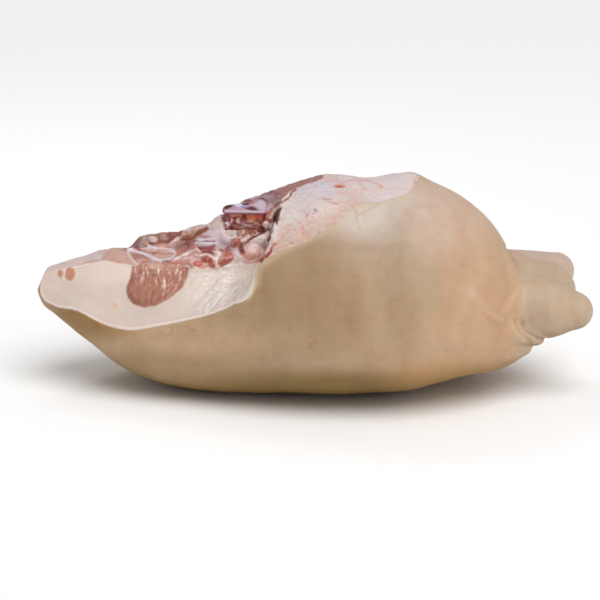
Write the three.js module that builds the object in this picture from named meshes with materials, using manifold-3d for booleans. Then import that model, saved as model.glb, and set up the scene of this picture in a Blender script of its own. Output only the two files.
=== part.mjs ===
// A raw ham on the bone with its rind on, lying on its side: the round thigh, the cut butt end with its
// thick fat, the split hip bone in its hollow, and the hock. Millimetres, +Z up, resting on Z = 0.
// X runs from the butt end to the hock, and the cut faces look up and towards -Y.
//
// Each of the two pieces is a field: a function that is negative inside the piece, positive outside it,
// and close to the distance in millimetres. A field is turned into triangles on a graded grid.
import * as THREE from "three";
import Module from "manifold-3d";

// ---------- driving sizes ----------

const BUTT_END = -253; // X of the blunt end of the fat
const KNEE_END = 193; // X where the trunk of the ham stops and only the hock goes on
const RIND = 2.5; // thickness of the rind, gone where the top of the thigh is trimmed
const SIT = 4.5; // rounding where the sides turn into the flat that the ham rests on
const MIDDLE = [-2.3, -1.1]; // X and Y of the middle of the ham's box, which becomes the origin

// Cross-sections of the untrimmed ham: the middle (y, z), and how far it reaches each way from there.
const TRUNK = [
  { x: -253, y: 2, z: 86, front: 9, back: 9, up: 4.5, down: 6.5 },
  { x: -247, y: 2.5, z: 86, front: 19, back: 17, up: 15.5, down: 14.5 },
  { x: -236, y: 3.5, z: 86, front: 29, back: 26, up: 40, down: 22 },
  { x: -216, y: 3.5, z: 81, front: 41, back: 41, up: 59, down: 33 },
  { x: -200, y: 3.5, z: 76, front: 51, back: 54, up: 70, down: 39 },
  { x: -180, y: 4.5, z: 68, front: 64, back: 67, up: 79, down: 47 },
  { x: -162, y: 5.5, z: 63, front: 74, back: 83, up: 88, down: 52 },
  { x: -135, y: 5.5, z: 59, front: 84, back: 94, up: 97, down: 56 },
  { x: -99, y: 7, z: 61, front: 98, back: 101, up: 103, down: 63 },
  { x: -54, y: 16, z: 70, front: 123, back: 104, up: 101, down: 74 },
  { x: -13.5, y: 31, z: 74, front: 151, back: 94, up: 108, down: 78 },
  { x: 13.5, y: 32, z: 76, front: 156, back: 90, up: 112, down: 81 },
  { x: 50, y: 31, z: 78, front: 158, back: 88, up: 107, down: 81 },
  { x: 83, y: 27, z: 79, front: 153, back: 88, up: 111, down: 79 },
  { x: 108, y: 22, z: 79, front: 140, back: 86, up: 101, down: 72 },
  { x: 135, y: 16, z: 74, front: 122, back: 81, up: 93, down: 60 },
  { x: 158, y: 9, z: 68, front: 97, back: 72, up: 80, down: 52 },
  { x: 174, y: 2, z: 61, front: 74, back: 59, up: 64, down: 39 },
  { x: 184, y: -5.5, z: 58, front: 54, back: 45, up: 45, down: 29 },
  { x: 193, y: -12.5, z: 56, front: 34, back: 31, up: 27, down: 14.5 },
];
const UPPER_ROUNDNESS = 1.9; // 2 is an ellipse, less is more peaked, more is squarer
const LOWER_ROUNDNESS = 2.4;

// The butt end: a line along the top of the fat, and from it the fat face falls to the front at a slope.
const FAT_EDGE = [
  { x: -253, y: 0, z: 103, slope: 1.6 },
  { x: -232, y: -2.5, z: 106, slope: 1.25 },
  { x: -216, y: -4.5, z: 109, slope: 1 },
  { x: -191, y: -8, z: 115, slope: 1.03 },
  { x: -166, y: -15.5, z: 112, slope: 0.9 },
  { x: -134, y: -19, z: 111, slope: 0.64 },
  { x: -99, y: -20, z: 112, slope: 0.41 },
  { x: -79, y: -19, z: 115, slope: 0.33 },
  { x: -36, y: -18, z: 118, slope: 0.25 },
];
const SLAB = 13; // how far the slab of muscle at the far side stands above the lean
const CLIMB = 38; // how far the lean climbs from the fat's edge to the hip bone's back
const CLIMB_FADE = 0.42; // share of the climb that is lost towards the far side

// The wall where the thigh rises out of the butt end, as X along Y.
const WALL = [
  { y: -112, x: -56 },
  { y: -99, x: -50 },
  { y: -86, x: -46 },
  { y: -54, x: -38 },
  { y: -32, x: -34 },
  { y: -4.5, x: -30 },
  { y: 11, x: -32 },
  { y: 27, x: -40 },
  { y: 45, x: -52 },
  { y: 68, x: -74 },
  { y: 108, x: -90 },
];

// The edge of the rind on top of the thigh: in front of it and behind it the rind goes on, and between
// the two the rind has been trimmed off down to the membrane.
const RIND_EDGE = [
  { x: -54, front: -84, back: 59 },
  { x: -32, front: -77, back: 79 },
  { x: -13.5, front: -76, back: 88 },
  { x: 7, front: -70, back: 92 },
  { x: 20, front: -60, back: 91 },
  { x: 33, front: -40, back: 86 },
  { x: 45, front: -33, back: 81 },
  { x: 59, front: -32, back: 72 },
  { x: 77, front: -30, back: 59 },
  { x: 87, front: -18, back: 46 },
  { x: 91, front: 4, back: 37 },
  { x: 94, front: 20, back: 24 },
];
const TRIM_END = 95; // X where the trimmed top of the thigh ends

// What lies torn in front of the hip bone: the round of gristle, the tongue of fat above it, and the
// loose ends of muscle. Then a flap that folds over towards the far slab. Middle and half sizes.
const SCRAPS = [
  { at: [-56, -14, 122], size: [8.5, 8.5, 8.5] },
  { at: [-49, -7, 134], size: [11, 7, 7] },
  { at: [-40, -18, 126], size: [4.5, 10, 8] },
  { at: [-70, -14, 120], size: [6.5, 7, 5.5] },
  { at: [-81, -15, 118], size: [6, 8, 5.5] },
  { at: [-93, -15, 116], size: [9, 6.5, 5.5] },
  { at: [-107, -16, 113], size: [8, 6.5, 4.5] },
  { at: [-68, -4, 133], size: [6, 6, 5] },
  { at: [-79, -2, 134], size: [6, 7, 4.5] },
  { at: [-102, 38, 130], size: [14, 12, 7] },
  { at: [-112, 44, 126], size: [15, 10, 6.5] },
];
// The muscles that stand a little proud of the cut.
const MUSCLES = [
  { at: [-147, -34, 94], size: [24, 19, 15.5] },
  { at: [-160, 11, 104], size: [18, 14.5, 8] },
  { at: [-115, 9, 110], size: [23, 18, 8] },
  { at: [-135, 58, 113], size: [31, 22, 11.5] },
  { at: [-200, 20, 104], size: [27, 16, 6.5] },
];
const MUSCLE_RISE = 3.5; // the most that such a muscle adds

// The mouth of the vessel beside the hip bone, and the gap under the tongue of fat.
const HOLES = [
  { at: [-36, 1, 155], size: [5, 12, 8] },
  { at: [-40, -9, 134], size: [3, 7, 6.5] },
];

// The split hip bone, a block with a flat cap of gristle on top.
const BONE = {
  left: -84.5,
  right: -44,
  front: 3.5, // Y of the front face at the left end
  turn: -0.1, // how far the front face comes forward along X
  back: 21.5, // Y of the back at the left end
  splay: 0.66, // how far the back goes back along X
  top: 158.5,
  bottom: 124,
  cap: 4.5, // thickness of the cap
  lip: 2.3, // how far the cap stands out over the broken bone
  pits: 1, // depth of the pits in the broken bone
};
const BONE_GAP = 0.5; // room round the bone in its hollow

// ---------- small tools ----------

const clamp = THREE.MathUtils.clamp;
const mix = THREE.MathUtils.lerp;
const smoothstep = THREE.MathUtils.smoothstep;

// The smaller of two fields, with the crease between them filled over a width r; and the larger.
function join(a, b, r) {
  const h = Math.max(r - Math.abs(a - b), 0) / r;
  return Math.min(a, b) - (h * h * r) / 4;
}
const trim = (a, b, r) => -join(-a, -b, r);

// A smooth curve through the rows of a table: curve(rows, "x", "up") gives up for any x.
function curve(rows, from, to) {
  const t = rows.map((row) => row[from]);
  const v = rows.map((row) => row[to]);
  const last = t.length - 1;
  const slopes = t.map((_, i) => {
    const a = Math.max(i - 1, 0);
    const b = Math.min(i + 1, last);
    return (v[b] - v[a]) / (t[b] - t[a]);
  });
  return (at) => {
    if (at <= t[0]) return v[0];
    if (at >= t[last]) return v[last];
    let i = 0;
    while (at > t[i + 1]) i++;
    const span = t[i + 1] - t[i];
    const s = (at - t[i]) / span;
    const bend = span * s * (1 - s) * ((1 - s) * slopes[i] - s * slopes[i + 1]);
    return mix(v[i], v[i + 1], s * s * (3 - 2 * s)) + bend;
  };
}

// A rounded stick from a to b whose radius goes from ra to rb.
function stick(x, y, z, a, b, ra, rb) {
  const d = [b[0] - a[0], b[1] - a[1], b[2] - a[2]];
  const p = [x - a[0], y - a[1], z - a[2]];
  const along = p[0] * d[0] + p[1] * d[1] + p[2] * d[2];
  const t = clamp(along / (d[0] ** 2 + d[1] ** 2 + d[2] ** 2), 0, 1);
  return Math.hypot(p[0] - t * d[0], p[1] - t * d[1], p[2] - t * d[2]) - mix(ra, rb, t);
}

// An ellipsoid with its middle at c and half sizes r.
function lump(x, y, z, c, r) {
  const q = [(x - c[0]) / r[0], (y - c[1]) / r[1], (z - c[2]) / r[2]];
  const near = Math.max(Math.hypot(...q), 1e-6);
  const steep = Math.max(Math.hypot(q[0] / r[0], q[1] / r[1], q[2] / r[2]), 1e-6);
  return (near * (near - 1)) / steep;
}

// ---------- the ham ----------

const trunkY = curve(TRUNK, "x", "y");
const trunkZ = curve(TRUNK, "x", "z");
const trunkFront = curve(TRUNK, "x", "front");
const trunkBack = curve(TRUNK, "x", "back");
const trunkUp = curve(TRUNK, "x", "up");
const trunkDown = curve(TRUNK, "x", "down");

// The ham before it was cut, from the butt end to the knee.
function trunk(x, y, z) {
  const dy = y - trunkY(x);
  const dz = z - trunkZ(x);
  const across = Math.abs(dy) / (dy < 0 ? trunkFront(x) : trunkBack(x));
  const tall = Math.abs(dz) / (dz > 0 ? trunkUp(x) : trunkDown(x));
  const n = dz > 0 ? UPPER_ROUNDNESS : LOWER_ROUNDNESS;
  const reach = Math.max((across ** n + tall ** n) ** (1 / n), 1e-6);
  const out = Math.hypot(dy, dz) * (1 - 1 / reach);
  const ends = Math.max(BUTT_END - x, x - KNEE_END);
  return trim(out, ends, 11);
}

// The hock: the lobe of rind in front, the leaner one behind it, and the shank between the two, which
// ends a little sooner.
function hock(x, y, z) {
  const shin = stick(x, y, z, [162, -27, 77], [207, -37, 78], 33, 24);
  const heel = stick(x, y, z, [207, -37, 78], [231, -38, 76.5], 24, 17);
  const shank = stick(x, y, z, [162, 4, 80], [212, 1, 84], 33, 25);
  const rear = stick(x, y, z, [160, 32, 88], [223, 38, 94], 29, 17);
  return join(join(join(shin, heel, 11), shank, 20), rear, 20);
}

// The rolls of rind that are pushed together under the hock.
function rolls(x, y, z) {
  const near = stick(x, y, z, [173, -67, 63], [197, -47, 54], 8, 6.5);
  const far = stick(x, y, z, [166, -63, 48], [186, -45, 45], 10, 7);
  return join(near, far, 3.5);
}

const edgeY = curve(FAT_EDGE, "x", "y");
const edgeZ = curve(FAT_EDGE, "x", "z");
const edgeSlope = curve(FAT_EDGE, "x", "slope");
const wallX = curve(WALL, "y", "x");

// Height of the cut across the butt end: the fat face in front, the lean behind it, the slab of muscle at
// the far side, and the climb to the hip bone.
function buttHeight(x, y) {
  const back = y - edgeY(x);
  const slab = SLAB * smoothstep(y, 50, 63) * smoothstep(x, -175, -162);
  const fade = 1 - CLIMB_FADE * smoothstep(y, 22, 80);
  const climb = CLIMB * fade * smoothstep(x, -130, -84) * smoothstep(y, -22, 18);
  const lean = edgeZ(x) - 0.04 * back + Math.max(slab, climb);
  const fat = edgeZ(x) + edgeSlope(x) * back + 3 * Math.max(back, 0);
  return join(lean, fat, 4.5);
}

// What was cut away over the butt end, back to the wall of the thigh.
function cutAway(x, y, z) {
  const slope = Math.hypot(1, edgeSlope(x) * (1 - smoothstep(y, -27, -9)));
  const above = (buttHeight(x, y) - z) / slope;
  const before = x - wallX(y);
  return trim(above, before, mix(50, 9, smoothstep(y, -63, -22)));
}

// The trimmed top of the thigh: 1 where the rind is gone, 0 where it is whole.
const rindFront = curve(RIND_EDGE, "x", "front");
const rindBack = curve(RIND_EDGE, "x", "back");
function trimmed(x, y, z) {
  const inside = Math.min(y - rindFront(x), rindBack(x) - y, TRIM_END - x);
  return smoothstep(inside, -1, 3) * smoothstep(z, 90, 108);
}

function flesh(x, y, z) {
  let d = join(trunk(x, y, z) + RIND * trimmed(x, y, z), hock(x, y, z), 14);
  d = join(d, rolls(x, y, z), 6);
  d = trim(d, -cutAway(x, y, z), 3.5);
  for (const { at, size } of MUSCLES) {
    const rise = Math.max(lump(x, y, z, at, size), d - MUSCLE_RISE);
    d = join(d, rise, 3);
  }
  for (const { at, size } of SCRAPS) d = join(d, lump(x, y, z, at, size), 4.5);
  for (const { at, size } of HOLES) d = trim(d, -lump(x, y, z, at, size), 3);
  return trim(d, -z, SIT);
}

// ---------- the hip bone ----------

function hipBone(x, y, z) {
  const along = x - BONE.left;
  const capFoot = BONE.top - BONE.cap;
  const under = 1 - smoothstep(z, capFoot - 1.5, capFoot + 1.5);
  const pits = Math.sin(0.69 * x + 0.55 * z) * Math.sin(0.55 * y - 0.73 * z + 0.33 * x);
  const set = (BONE.lip + BONE.pits * pits) * under;
  const front = BONE.front + BONE.turn * along - y + set;
  const back = 0.83 * (y - BONE.back - BONE.splay * along);
  const waist = (z - (BONE.top + BONE.bottom) / 2) ** 2 / 600;
  const left = BONE.left - x + 0.6 * set + 1 - waist;
  const plan = trim(trim(front, back, 5), trim(left, x - BONE.right, 5), 5);
  const tilt = 0.05 * (y - BONE.front) - 0.5 * Math.sin(0.12 * x + 0.1 * y);
  const top = z - BONE.top - tilt;
  return trim(plan, trim(top, BONE.bottom - z, 3), 3);
}

// ---------- from a field to triangles ----------

const SMOOTH_COSINE = 0.7; // a sheet whose normals agree this well holds no edge
const MARGIN = 0.08; // share of a cell kept between a vertex and the cell's faces

// Grid lines from start to end whose spacing at any place is step(place), stretched to end exactly.
function gridLines(start, end, step) {
  const lines = [start];
  while (lines.at(-1) < end) lines.push(lines.at(-1) + step(lines.at(-1)));
  const scale = (end - start) / (lines.at(-1) - start);
  return lines.map((v) => start + (v - start) * scale);
}

// The corners of a grid cell, its edges as pairs of corners, and its faces as rings of four corners.
const AXES = [0, 1, 2];
const CORNERS = [0, 1, 2, 3, 4, 5, 6, 7];
const offset = (corner) => AXES.map((axis) => (corner >> axis) & 1);
const EDGES = AXES.flatMap((axis) =>
  CORNERS.filter((n) => !(n & (1 << axis))).map((n) => [n, n | (1 << axis)]),
);
const RINGS = AXES.flatMap((axis) => {
  const u = 1 << ((axis + 1) % 3);
  const v = 1 << ((axis + 2) % 3);
  return [0, 1 << axis].map((n) => [n, n | u, n | u | v, n | v]);
});
const edgeBetween = (a, b) => EDGES.findIndex((e) => e.includes(a) && e.includes(b));

// Parts the edges of a cell that the surface cuts into one list for each sheet of surface in the cell.
function sheetsOf(inside) {
  const sheet = EDGES.map(([a, b], n) => (inside[a] !== inside[b] ? n : -1));
  const tie = (m, n) => {
    if (sheet[m] < 0 || sheet[n] < 0) return;
    const [from, to] = [sheet[m], sheet[n]];
    sheet.forEach((v, k) => {
      if (v === from) sheet[k] = to;
    });
  };
  for (const ring of RINGS) {
    const edges = ring.map((a, n) => edgeBetween(a, ring[(n + 1) % 4]));
    const cut = edges.filter((n) => sheet[n] >= 0);
    if (cut.length === 2) tie(...cut);
    if (cut.length === 4) ring.forEach((a, n) => inside[a] && tie(edges[(n + 3) % 4], edges[n]));
  }
  const names = [...new Set(sheet)].filter((v) => v >= 0);
  return names.map((name) => EDGES.map((_, n) => n).filter((n) => sheet[n] === name));
}

// Dual contouring: one vertex for each sheet of surface in each grid cell, slid to where the tangent
// planes at the sheet's crossings meet, and one quad across each grid edge that the surface cuts.
function meshOfField(field, xs, ys, zs) {
  const [nx, ny, nz] = [xs.length, ys.length, zs.length];
  const id = (i, j, k) => i + nx * (j + ny * k);
  const value = new Float64Array(nx * ny * nz);
  for (let k = 0; k < nz; k++)
    for (let j = 0; j < ny; j++)
      for (let i = 0; i < nx; i++) value[id(i, j, k)] = field(xs[i], ys[j], zs[k]);

  const gradient = (p) => {
    const e = 0.05;
    return new THREE.Vector3(
      field(p.x + e, p.y, p.z) - field(p.x - e, p.y, p.z),
      field(p.x, p.y + e, p.z) - field(p.x, p.y - e, p.z),
      field(p.x, p.y, p.z + e) - field(p.x, p.y, p.z - e),
    ).divideScalar(2 * e);
  };
  const crossing = (a, b, insideA) => {
    let [low, high] = insideA ? [a.clone(), b.clone()] : [b.clone(), a.clone()];
    for (let n = 0; n < 18; n++) {
      const middle = low.clone().lerp(high, 0.5);
      if (field(middle.x, middle.y, middle.z) < 0) low = middle;
      else high = middle;
    }
    return low.lerp(high, 0.5);
  };
  // The vertex of one sheet: on a smooth sheet the middle of its crossings, dropped onto the surface, and
  // elsewhere the place where the crossings' tangent planes meet.
  const vertexOf = (points, low, high) => {
    const normals = points.map((p) => gradient(p).normalize());
    const vertex = new THREE.Vector3();
    for (const p of points) vertex.addScaledVector(p, 1 / points.length);
    if (normals.every((n) => n.dot(normals[0]) > SMOOTH_COSINE)) {
      for (let n = 0; n < 4; n++) {
        const slope = gradient(vertex);
        const height = field(vertex.x, vertex.y, vertex.z);
        vertex.addScaledVector(slope, -height / Math.max(slope.lengthSq(), 0.25));
      }
      return vertex.clamp(low, high);
    }
    for (let n = 0; n < 30; n++) {
      const push = new THREE.Vector3();
      points.forEach((p, m) => {
        push.addScaledVector(normals[m], normals[m].dot(p.clone().sub(vertex)));
      });
      vertex.addScaledVector(push, 1.2 / points.length).clamp(low, high);
    }
    return vertex;
  };

  const positions = [];
  const vertexAt = new Map(); // by cell and cut edge
  for (let k = 0; k < nz - 1; k++)
    for (let j = 0; j < ny - 1; j++)
      for (let i = 0; i < nx - 1; i++) {
        const steps = CORNERS.map(offset);
        const inside = steps.map(([a, b, c]) => value[id(i + a, j + b, k + c)] < 0);
        if (inside.every((v) => v === inside[0])) continue;
        const corner = steps.map(([a, b, c]) => new THREE.Vector3(xs[i + a], ys[j + b], zs[k + c]));
        const low = corner[0].clone().lerp(corner[7], MARGIN);
        const high = corner[7].clone().lerp(corner[0], MARGIN);
        for (const sheet of sheetsOf(inside)) {
          const points = sheet.map((n) => {
            const [a, b] = EDGES[n];
            return crossing(corner[a], corner[b], inside[a]);
          });
          for (const n of sheet) vertexAt.set(12 * id(i, j, k) + n, positions.length / 3);
          positions.push(...vertexOf(points, low, high).toArray());
        }
      }

  const triangles = [];
  const at = (n) => new THREE.Vector3().fromArray(positions, 3 * n);
  // The quad round the grid edge that leaves (i, j, k) along an axis.
  const quad = (i, j, k, axis, outward) => {
    const u = (axis + 1) % 3;
    const v = (axis + 2) % 3;
    const turns = [[1, 1], [0, 1], [0, 0], [1, 0]];
    const ring = turns.map(([a, b]) => {
      const cell = [i, j, k];
      cell[u] -= a;
      cell[v] -= b;
      const from = (a << u) | (b << v);
      return vertexAt.get(12 * id(...cell) + edgeBetween(from, from | (1 << axis)));
    });
    if (!outward) ring.reverse();
    const [p, q, r, s] = ring;
    const short = at(p).distanceTo(at(r)) <= at(q).distanceTo(at(s));
    triangles.push(...(short ? [p, q, r, p, r, s] : [p, q, s, q, r, s]));
  };
  for (let k = 1; k < nz - 1; k++)
    for (let j = 1; j < ny - 1; j++)
      for (let i = 1; i < nx - 1; i++) {
        const inside = value[id(i, j, k)] < 0;
        [id(i + 1, j, k), id(i, j + 1, k), id(i, j, k + 1)].forEach((next, axis) => {
          if (inside !== value[next] < 0) quad(i, j, k, axis, inside);
        });
      }
  const geometry = new THREE.BufferGeometry();
  geometry.setAttribute("position", new THREE.Float32BufferAttribute(positions, 3));
  geometry.setIndex(triangles);
  return geometry;
}

// ---------- cutting ----------

const wasm = await Module();
wasm.setup();

function solidOf(geometry) {
  const vertProperties = Float32Array.from(geometry.attributes.position.array);
  const triVerts = Uint32Array.from(geometry.index.array);
  return new wasm.Manifold(new wasm.Mesh({ numProp: 3, vertProperties, triVerts }));
}

function geometryOf(solid) {
  const { vertProperties, triVerts } = solid.getMesh();
  const geometry = new THREE.BufferGeometry();
  geometry.setAttribute("position", new THREE.Float32BufferAttribute(vertProperties, 3));
  geometry.setIndex(Array.from(triVerts));
  return geometry;
}

// The same shape with every vertex moved out along its normal.
function swollen(geometry, by) {
  const out = geometry.clone();
  out.computeVertexNormals();
  const position = out.attributes.position;
  const normal = out.attributes.normal;
  const place = new THREE.Vector3();
  const push = new THREE.Vector3();
  for (let n = 0; n < position.count; n++) {
    push.fromBufferAttribute(normal, n);
    place.fromBufferAttribute(position, n).addScaledVector(push, by);
    position.setXYZ(n, place.x, place.y, place.z);
  }
  return out;
}

// ---------- the model ----------

const boneGeometry = meshOfField(
  hipBone,
  gridLines(BONE.left - 12, BONE.right + 12, () => 4.2),
  gridLines(BONE.front - 16, BONE.back + 42, () => 4.6),
  gridLines(BONE.bottom - 10, BONE.top + 14, () => 4.2),
);
const fleshGeometry = meshOfField(
  flesh,
  gridLines(-264, 264, (x) => (x < -26 ? 7 : x < 100 ? 11 : 8.4)),
  gridLines(-148, 142, (y) => (y < 20 ? 8.8 : 12)),
  gridLines(-20, 200, (z) => (z < 45 ? 13 : z < 90 ? 9 : 7.5)),
);
const hollowed = solidOf(fleshGeometry).subtract(solidOf(swollen(boneGeometry, BONE_GAP)));

function piece(name, geometry, color, roughness) {
  const material = new THREE.MeshStandardMaterial({ color, roughness, metalness: 0 });
  const mesh = new THREE.Mesh(geometry, material);
  mesh.name = name;
  mesh.position.set(-MIDDLE[0], -MIDDLE[1], 0);
  return mesh;
}

const ham = new THREE.Group();
ham.add(piece("ham", geometryOf(hollowed), 0xd2b08c, 0.5));
ham.add(piece("hip_bone", boneGeometry, 0xb0889a, 0.45));

export default ham;
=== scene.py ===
import math

import bpy
import numpy as np
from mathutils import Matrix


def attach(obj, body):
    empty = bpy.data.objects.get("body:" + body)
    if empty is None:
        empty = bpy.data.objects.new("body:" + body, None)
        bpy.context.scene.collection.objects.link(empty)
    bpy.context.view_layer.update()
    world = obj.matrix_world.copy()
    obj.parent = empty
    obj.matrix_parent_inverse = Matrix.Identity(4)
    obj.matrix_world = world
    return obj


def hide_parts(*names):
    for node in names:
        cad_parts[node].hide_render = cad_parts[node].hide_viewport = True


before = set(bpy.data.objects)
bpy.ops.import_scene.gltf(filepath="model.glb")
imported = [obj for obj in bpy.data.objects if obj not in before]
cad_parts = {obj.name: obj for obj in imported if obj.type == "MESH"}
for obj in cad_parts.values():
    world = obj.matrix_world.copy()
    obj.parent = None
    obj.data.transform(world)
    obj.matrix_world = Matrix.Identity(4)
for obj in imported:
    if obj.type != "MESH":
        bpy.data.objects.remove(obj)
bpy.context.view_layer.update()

# A raw ham on the bone with its rind on. The shape below is worked out in millimetres, with X from the butt
# end to the hock, and becomes metres when the meshes are made.

# ---------- driving sizes ----------

FINE = 1.0  # how coarse the grids are
MIDDLE = (-2.3, -1.1)
BUTT_END = -253.0
KNEE_END = 193.0
RIND = 2.5
SIT = 4.5
TILT = math.radians(15)  # the photograph looks down on the ham by this much

# Cross-sections of the untrimmed ham: x, the middle (y, z), and its reach front, back, up and down.
TRUNK = np.array([
    (-253, 2, 86, 9, 9, 4.5, 6.5),
    (-247, 2.5, 86, 19, 17, 15.5, 14.5),
    (-236, 3.5, 86, 29, 26, 40, 22),
    (-216, 3.5, 81, 41, 41, 59, 33),
    (-200, 3.5, 76, 51, 54, 70, 39),
    (-180, 4.5, 68, 64, 67, 79, 47),
    (-162, 5.5, 63, 74, 83, 88, 52),
    (-135, 5.5, 59, 84, 94, 97, 56),
    (-99, 7, 61, 98, 101, 103, 63),
    (-54, 16, 70, 123, 104, 101, 74),
    (-13.5, 31, 74, 151, 94, 108, 78),
    (13.5, 32, 76, 156, 90, 112, 81),
    (50, 31, 78, 158, 88, 107, 81),
    (83, 27, 79, 153, 88, 111, 79),
    (108, 22, 79, 140, 86, 101, 72),
    (135, 16, 74, 122, 81, 93, 60),
    (158, 9, 68, 97, 72, 80, 52),
    (174, 2, 61, 74, 59, 64, 39),
    (184, -5.5, 58, 54, 45, 45, 29),
    (193, -12.5, 56, 34, 31, 27, 14.5),
])
# The line along the top of the fat: x, y, z and the slope of the fat face in front of it.
FAT_EDGE = np.array([
    (-253, 0, 103, 1.6),
    (-232, -2.5, 106, 1.25),
    (-216, -4.5, 109, 1),
    (-191, -8, 115, 1.03),
    (-166, -15.5, 112, 0.9),
    (-134, -19, 111, 0.64),
    (-99, -20, 112, 0.41),
    (-79, -19, 115, 0.33),
    (-36, -18, 118, 0.25),
])
SLAB, CLIMB, CLIMB_FADE = 13.0, 38.0, 0.42
# The wall where the thigh rises out of the butt end: y, x.
WALL = np.array([
    (-112, -56), (-99, -50), (-86, -46), (-54, -38), (-32, -34), (-4.5, -30),
    (11, -32), (27, -40), (45, -52), (68, -74), (108, -90),
])
# The edge of the rind on top of the thigh: x, y in front, y behind.
RIND_EDGE = np.array([
    (-54, -84, 59), (-32, -77, 79), (-13.5, -76, 88), (7, -70, 92), (20, -60, 91), (33, -40, 86),
    (45, -33, 81), (59, -32, 72), (77, -30, 59), (87, -18, 46), (91, 4, 37), (94, 20, 24),
])
TRIM_END = 95.0
SCRAPS = [
    ((-56, -14, 122), (8.5, 8.5, 8.5)),
    ((-49, -7, 134), (11, 7, 7)),
    ((-40, -18, 126), (4.5, 10, 8)),
    ((-70, -14, 120), (6.5, 7, 5.5)),
    ((-81, -15, 118), (6, 8, 5.5)),
    ((-93, -15, 116), (9, 6.5, 5.5)),
    ((-107, -16, 113), (8, 6.5, 4.5)),
    ((-68, -4, 133), (6, 6, 5)),
    ((-79, -2, 134), (6, 7, 4.5)),
    ((-102, 38, 130), (14, 12, 7)),
    ((-112, 44, 126), (15, 10, 6.5)),
]
MUSCLES = [
    ((-144.5, -34, 94), (22, 19, 15.5)),
    ((-160, 11, 104), (18, 14.5, 8)),
    ((-115, 9, 110), (23, 18, 8)),
    ((-135, 58, 113), (31, 22, 11.5)),
    ((-200, 20, 104), (27, 16, 6.5)),
]
HOLES = [
    ((-36, -3, 155), (3.4, 6, 6)),
    ((-40, -9, 133), (2.5, 4, 4)),
]
BONE = dict(
    left=-84.5, right=-44, front=3.5, turn=-0.1, back=21.5, splay=0.66,
    top=158.5, bottom=124, cap=2.6, lip=2.6, pits=1,
)

# ---------- small tools ----------


def smoothstep(v, a, b):
    t = np.clip((v - a) / (b - a), 0, 1)
    return t * t * (3 - 2 * t)


def mix(a, b, t):
    return a + (b - a) * t


def join(a, b, r):
    h = np.maximum(r - np.abs(a - b), 0) / r
    return np.minimum(a, b) - h * h * r / 4


def trim(a, b, r):
    return -join(-a, -b, r)


def curve(rows, column, key=0):
    t, v = rows[:, key], rows[:, column]
    last = len(t) - 1
    a = np.maximum(np.arange(len(t)) - 1, 0)
    b = np.minimum(np.arange(len(t)) + 1, last)
    slope = (v[b] - v[a]) / (t[b] - t[a])

    def at(p):
        p = np.clip(p, t[0], t[-1])
        i = np.clip(np.searchsorted(t, p) - 1, 0, last - 1)
        span = t[i + 1] - t[i]
        s = (p - t[i]) / span
        bend = span * s * (1 - s) * ((1 - s) * slope[i] - s * slope[i + 1])
        return mix(v[i], v[i + 1], s * s * (3 - 2 * s)) + bend

    return at


def stick(x, y, z, a, b, ra, rb):
    d = [b[k] - a[k] for k in range(3)]
    p = [x - a[0], y - a[1], z - a[2]]
    t = np.clip(sum(p[k] * d[k] for k in range(3)) / sum(v * v for v in d), 0, 1)
    near = np.sqrt(sum((p[k] - t * d[k]) ** 2 for k in range(3)))
    return near - mix(ra, rb, t)


def lump(x, y, z, c, r):
    q = [(x - c[0]) / r[0], (y - c[1]) / r[1], (z - c[2]) / r[2]]
    near = np.maximum(np.sqrt(q[0] ** 2 + q[1] ** 2 + q[2] ** 2), 1e-6)
    steep = np.sqrt((q[0] / r[0]) ** 2 + (q[1] / r[1]) ** 2 + (q[2] / r[2]) ** 2)
    return near * (near - 1) / np.maximum(steep, 1e-6)


def close_to(x, y, z, c, reach):
    """The points within reach of c on every axis."""
    hit = np.abs(x - c[0]) < reach[0]
    hit &= np.abs(y - c[1]) < reach[1]
    hit &= np.abs(z - c[2]) < reach[2]
    return np.flatnonzero(hit)


# Smooth noise from -1 to 1, the same at each run.
_rng = np.random.default_rng(11)
_perm = _rng.permutation(256)
_perm = np.concatenate([_perm, _perm])
_grad = _rng.normal(size=(256, 3))
_grad /= np.linalg.norm(_grad, axis=1)[:, None]


def noise(x, y, z):
    cell = [np.floor(v).astype(np.int64) for v in (x, y, z)]
    f = [v - c for v, c in zip((x, y, z), cell)]
    w = [v * v * v * (v * (v * 6 - 15) + 10) for v in f]
    total = 0
    for corner in range(8):
        o = [(corner >> k) & 1 for k in range(3)]
        h = _perm[(cell[0] + o[0]) & 255]
        h = _perm[h + ((cell[1] + o[1]) & 255)]
        h = _perm[h + ((cell[2] + o[2]) & 255)]
        g = _grad[h]
        dot = sum(g[..., k] * (f[k] - o[k]) for k in range(3))
        for k in range(3):
            dot = dot * (w[k] if o[k] else 1 - w[k])
        total = total + dot
    return total * 1.7


def layers(x, y, z, octaves=3, rough=0.5):
    total, size, most = 0, 1.0, 0.0
    for n in range(octaves):
        total = total + size * noise(x * 2**n + 17.3 * n, y * 2**n - 5.1 * n, z * 2**n + 3.7 * n)
        most += size
        size *= rough
    return total / most


def turned(x, y, z):
    """A point turned off the axes, so that no pattern of the noise runs along them."""
    return 0.8 * x + 0.48 * y - 0.36 * z, -0.6 * x + 0.64 * y - 0.48 * z, 0.6 * y + 0.8 * z


# ---------- the ham ----------

trunk_y, trunk_z = curve(TRUNK, 1), curve(TRUNK, 2)
trunk_front, trunk_back = curve(TRUNK, 3), curve(TRUNK, 4)
trunk_up, trunk_down = curve(TRUNK, 5), curve(TRUNK, 6)
edge_y, edge_z, edge_slope = curve(FAT_EDGE, 1), curve(FAT_EDGE, 2), curve(FAT_EDGE, 3)
wall_x = curve(WALL, 1)
rind_front, rind_back = curve(RIND_EDGE, 1), curve(RIND_EDGE, 2)


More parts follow.
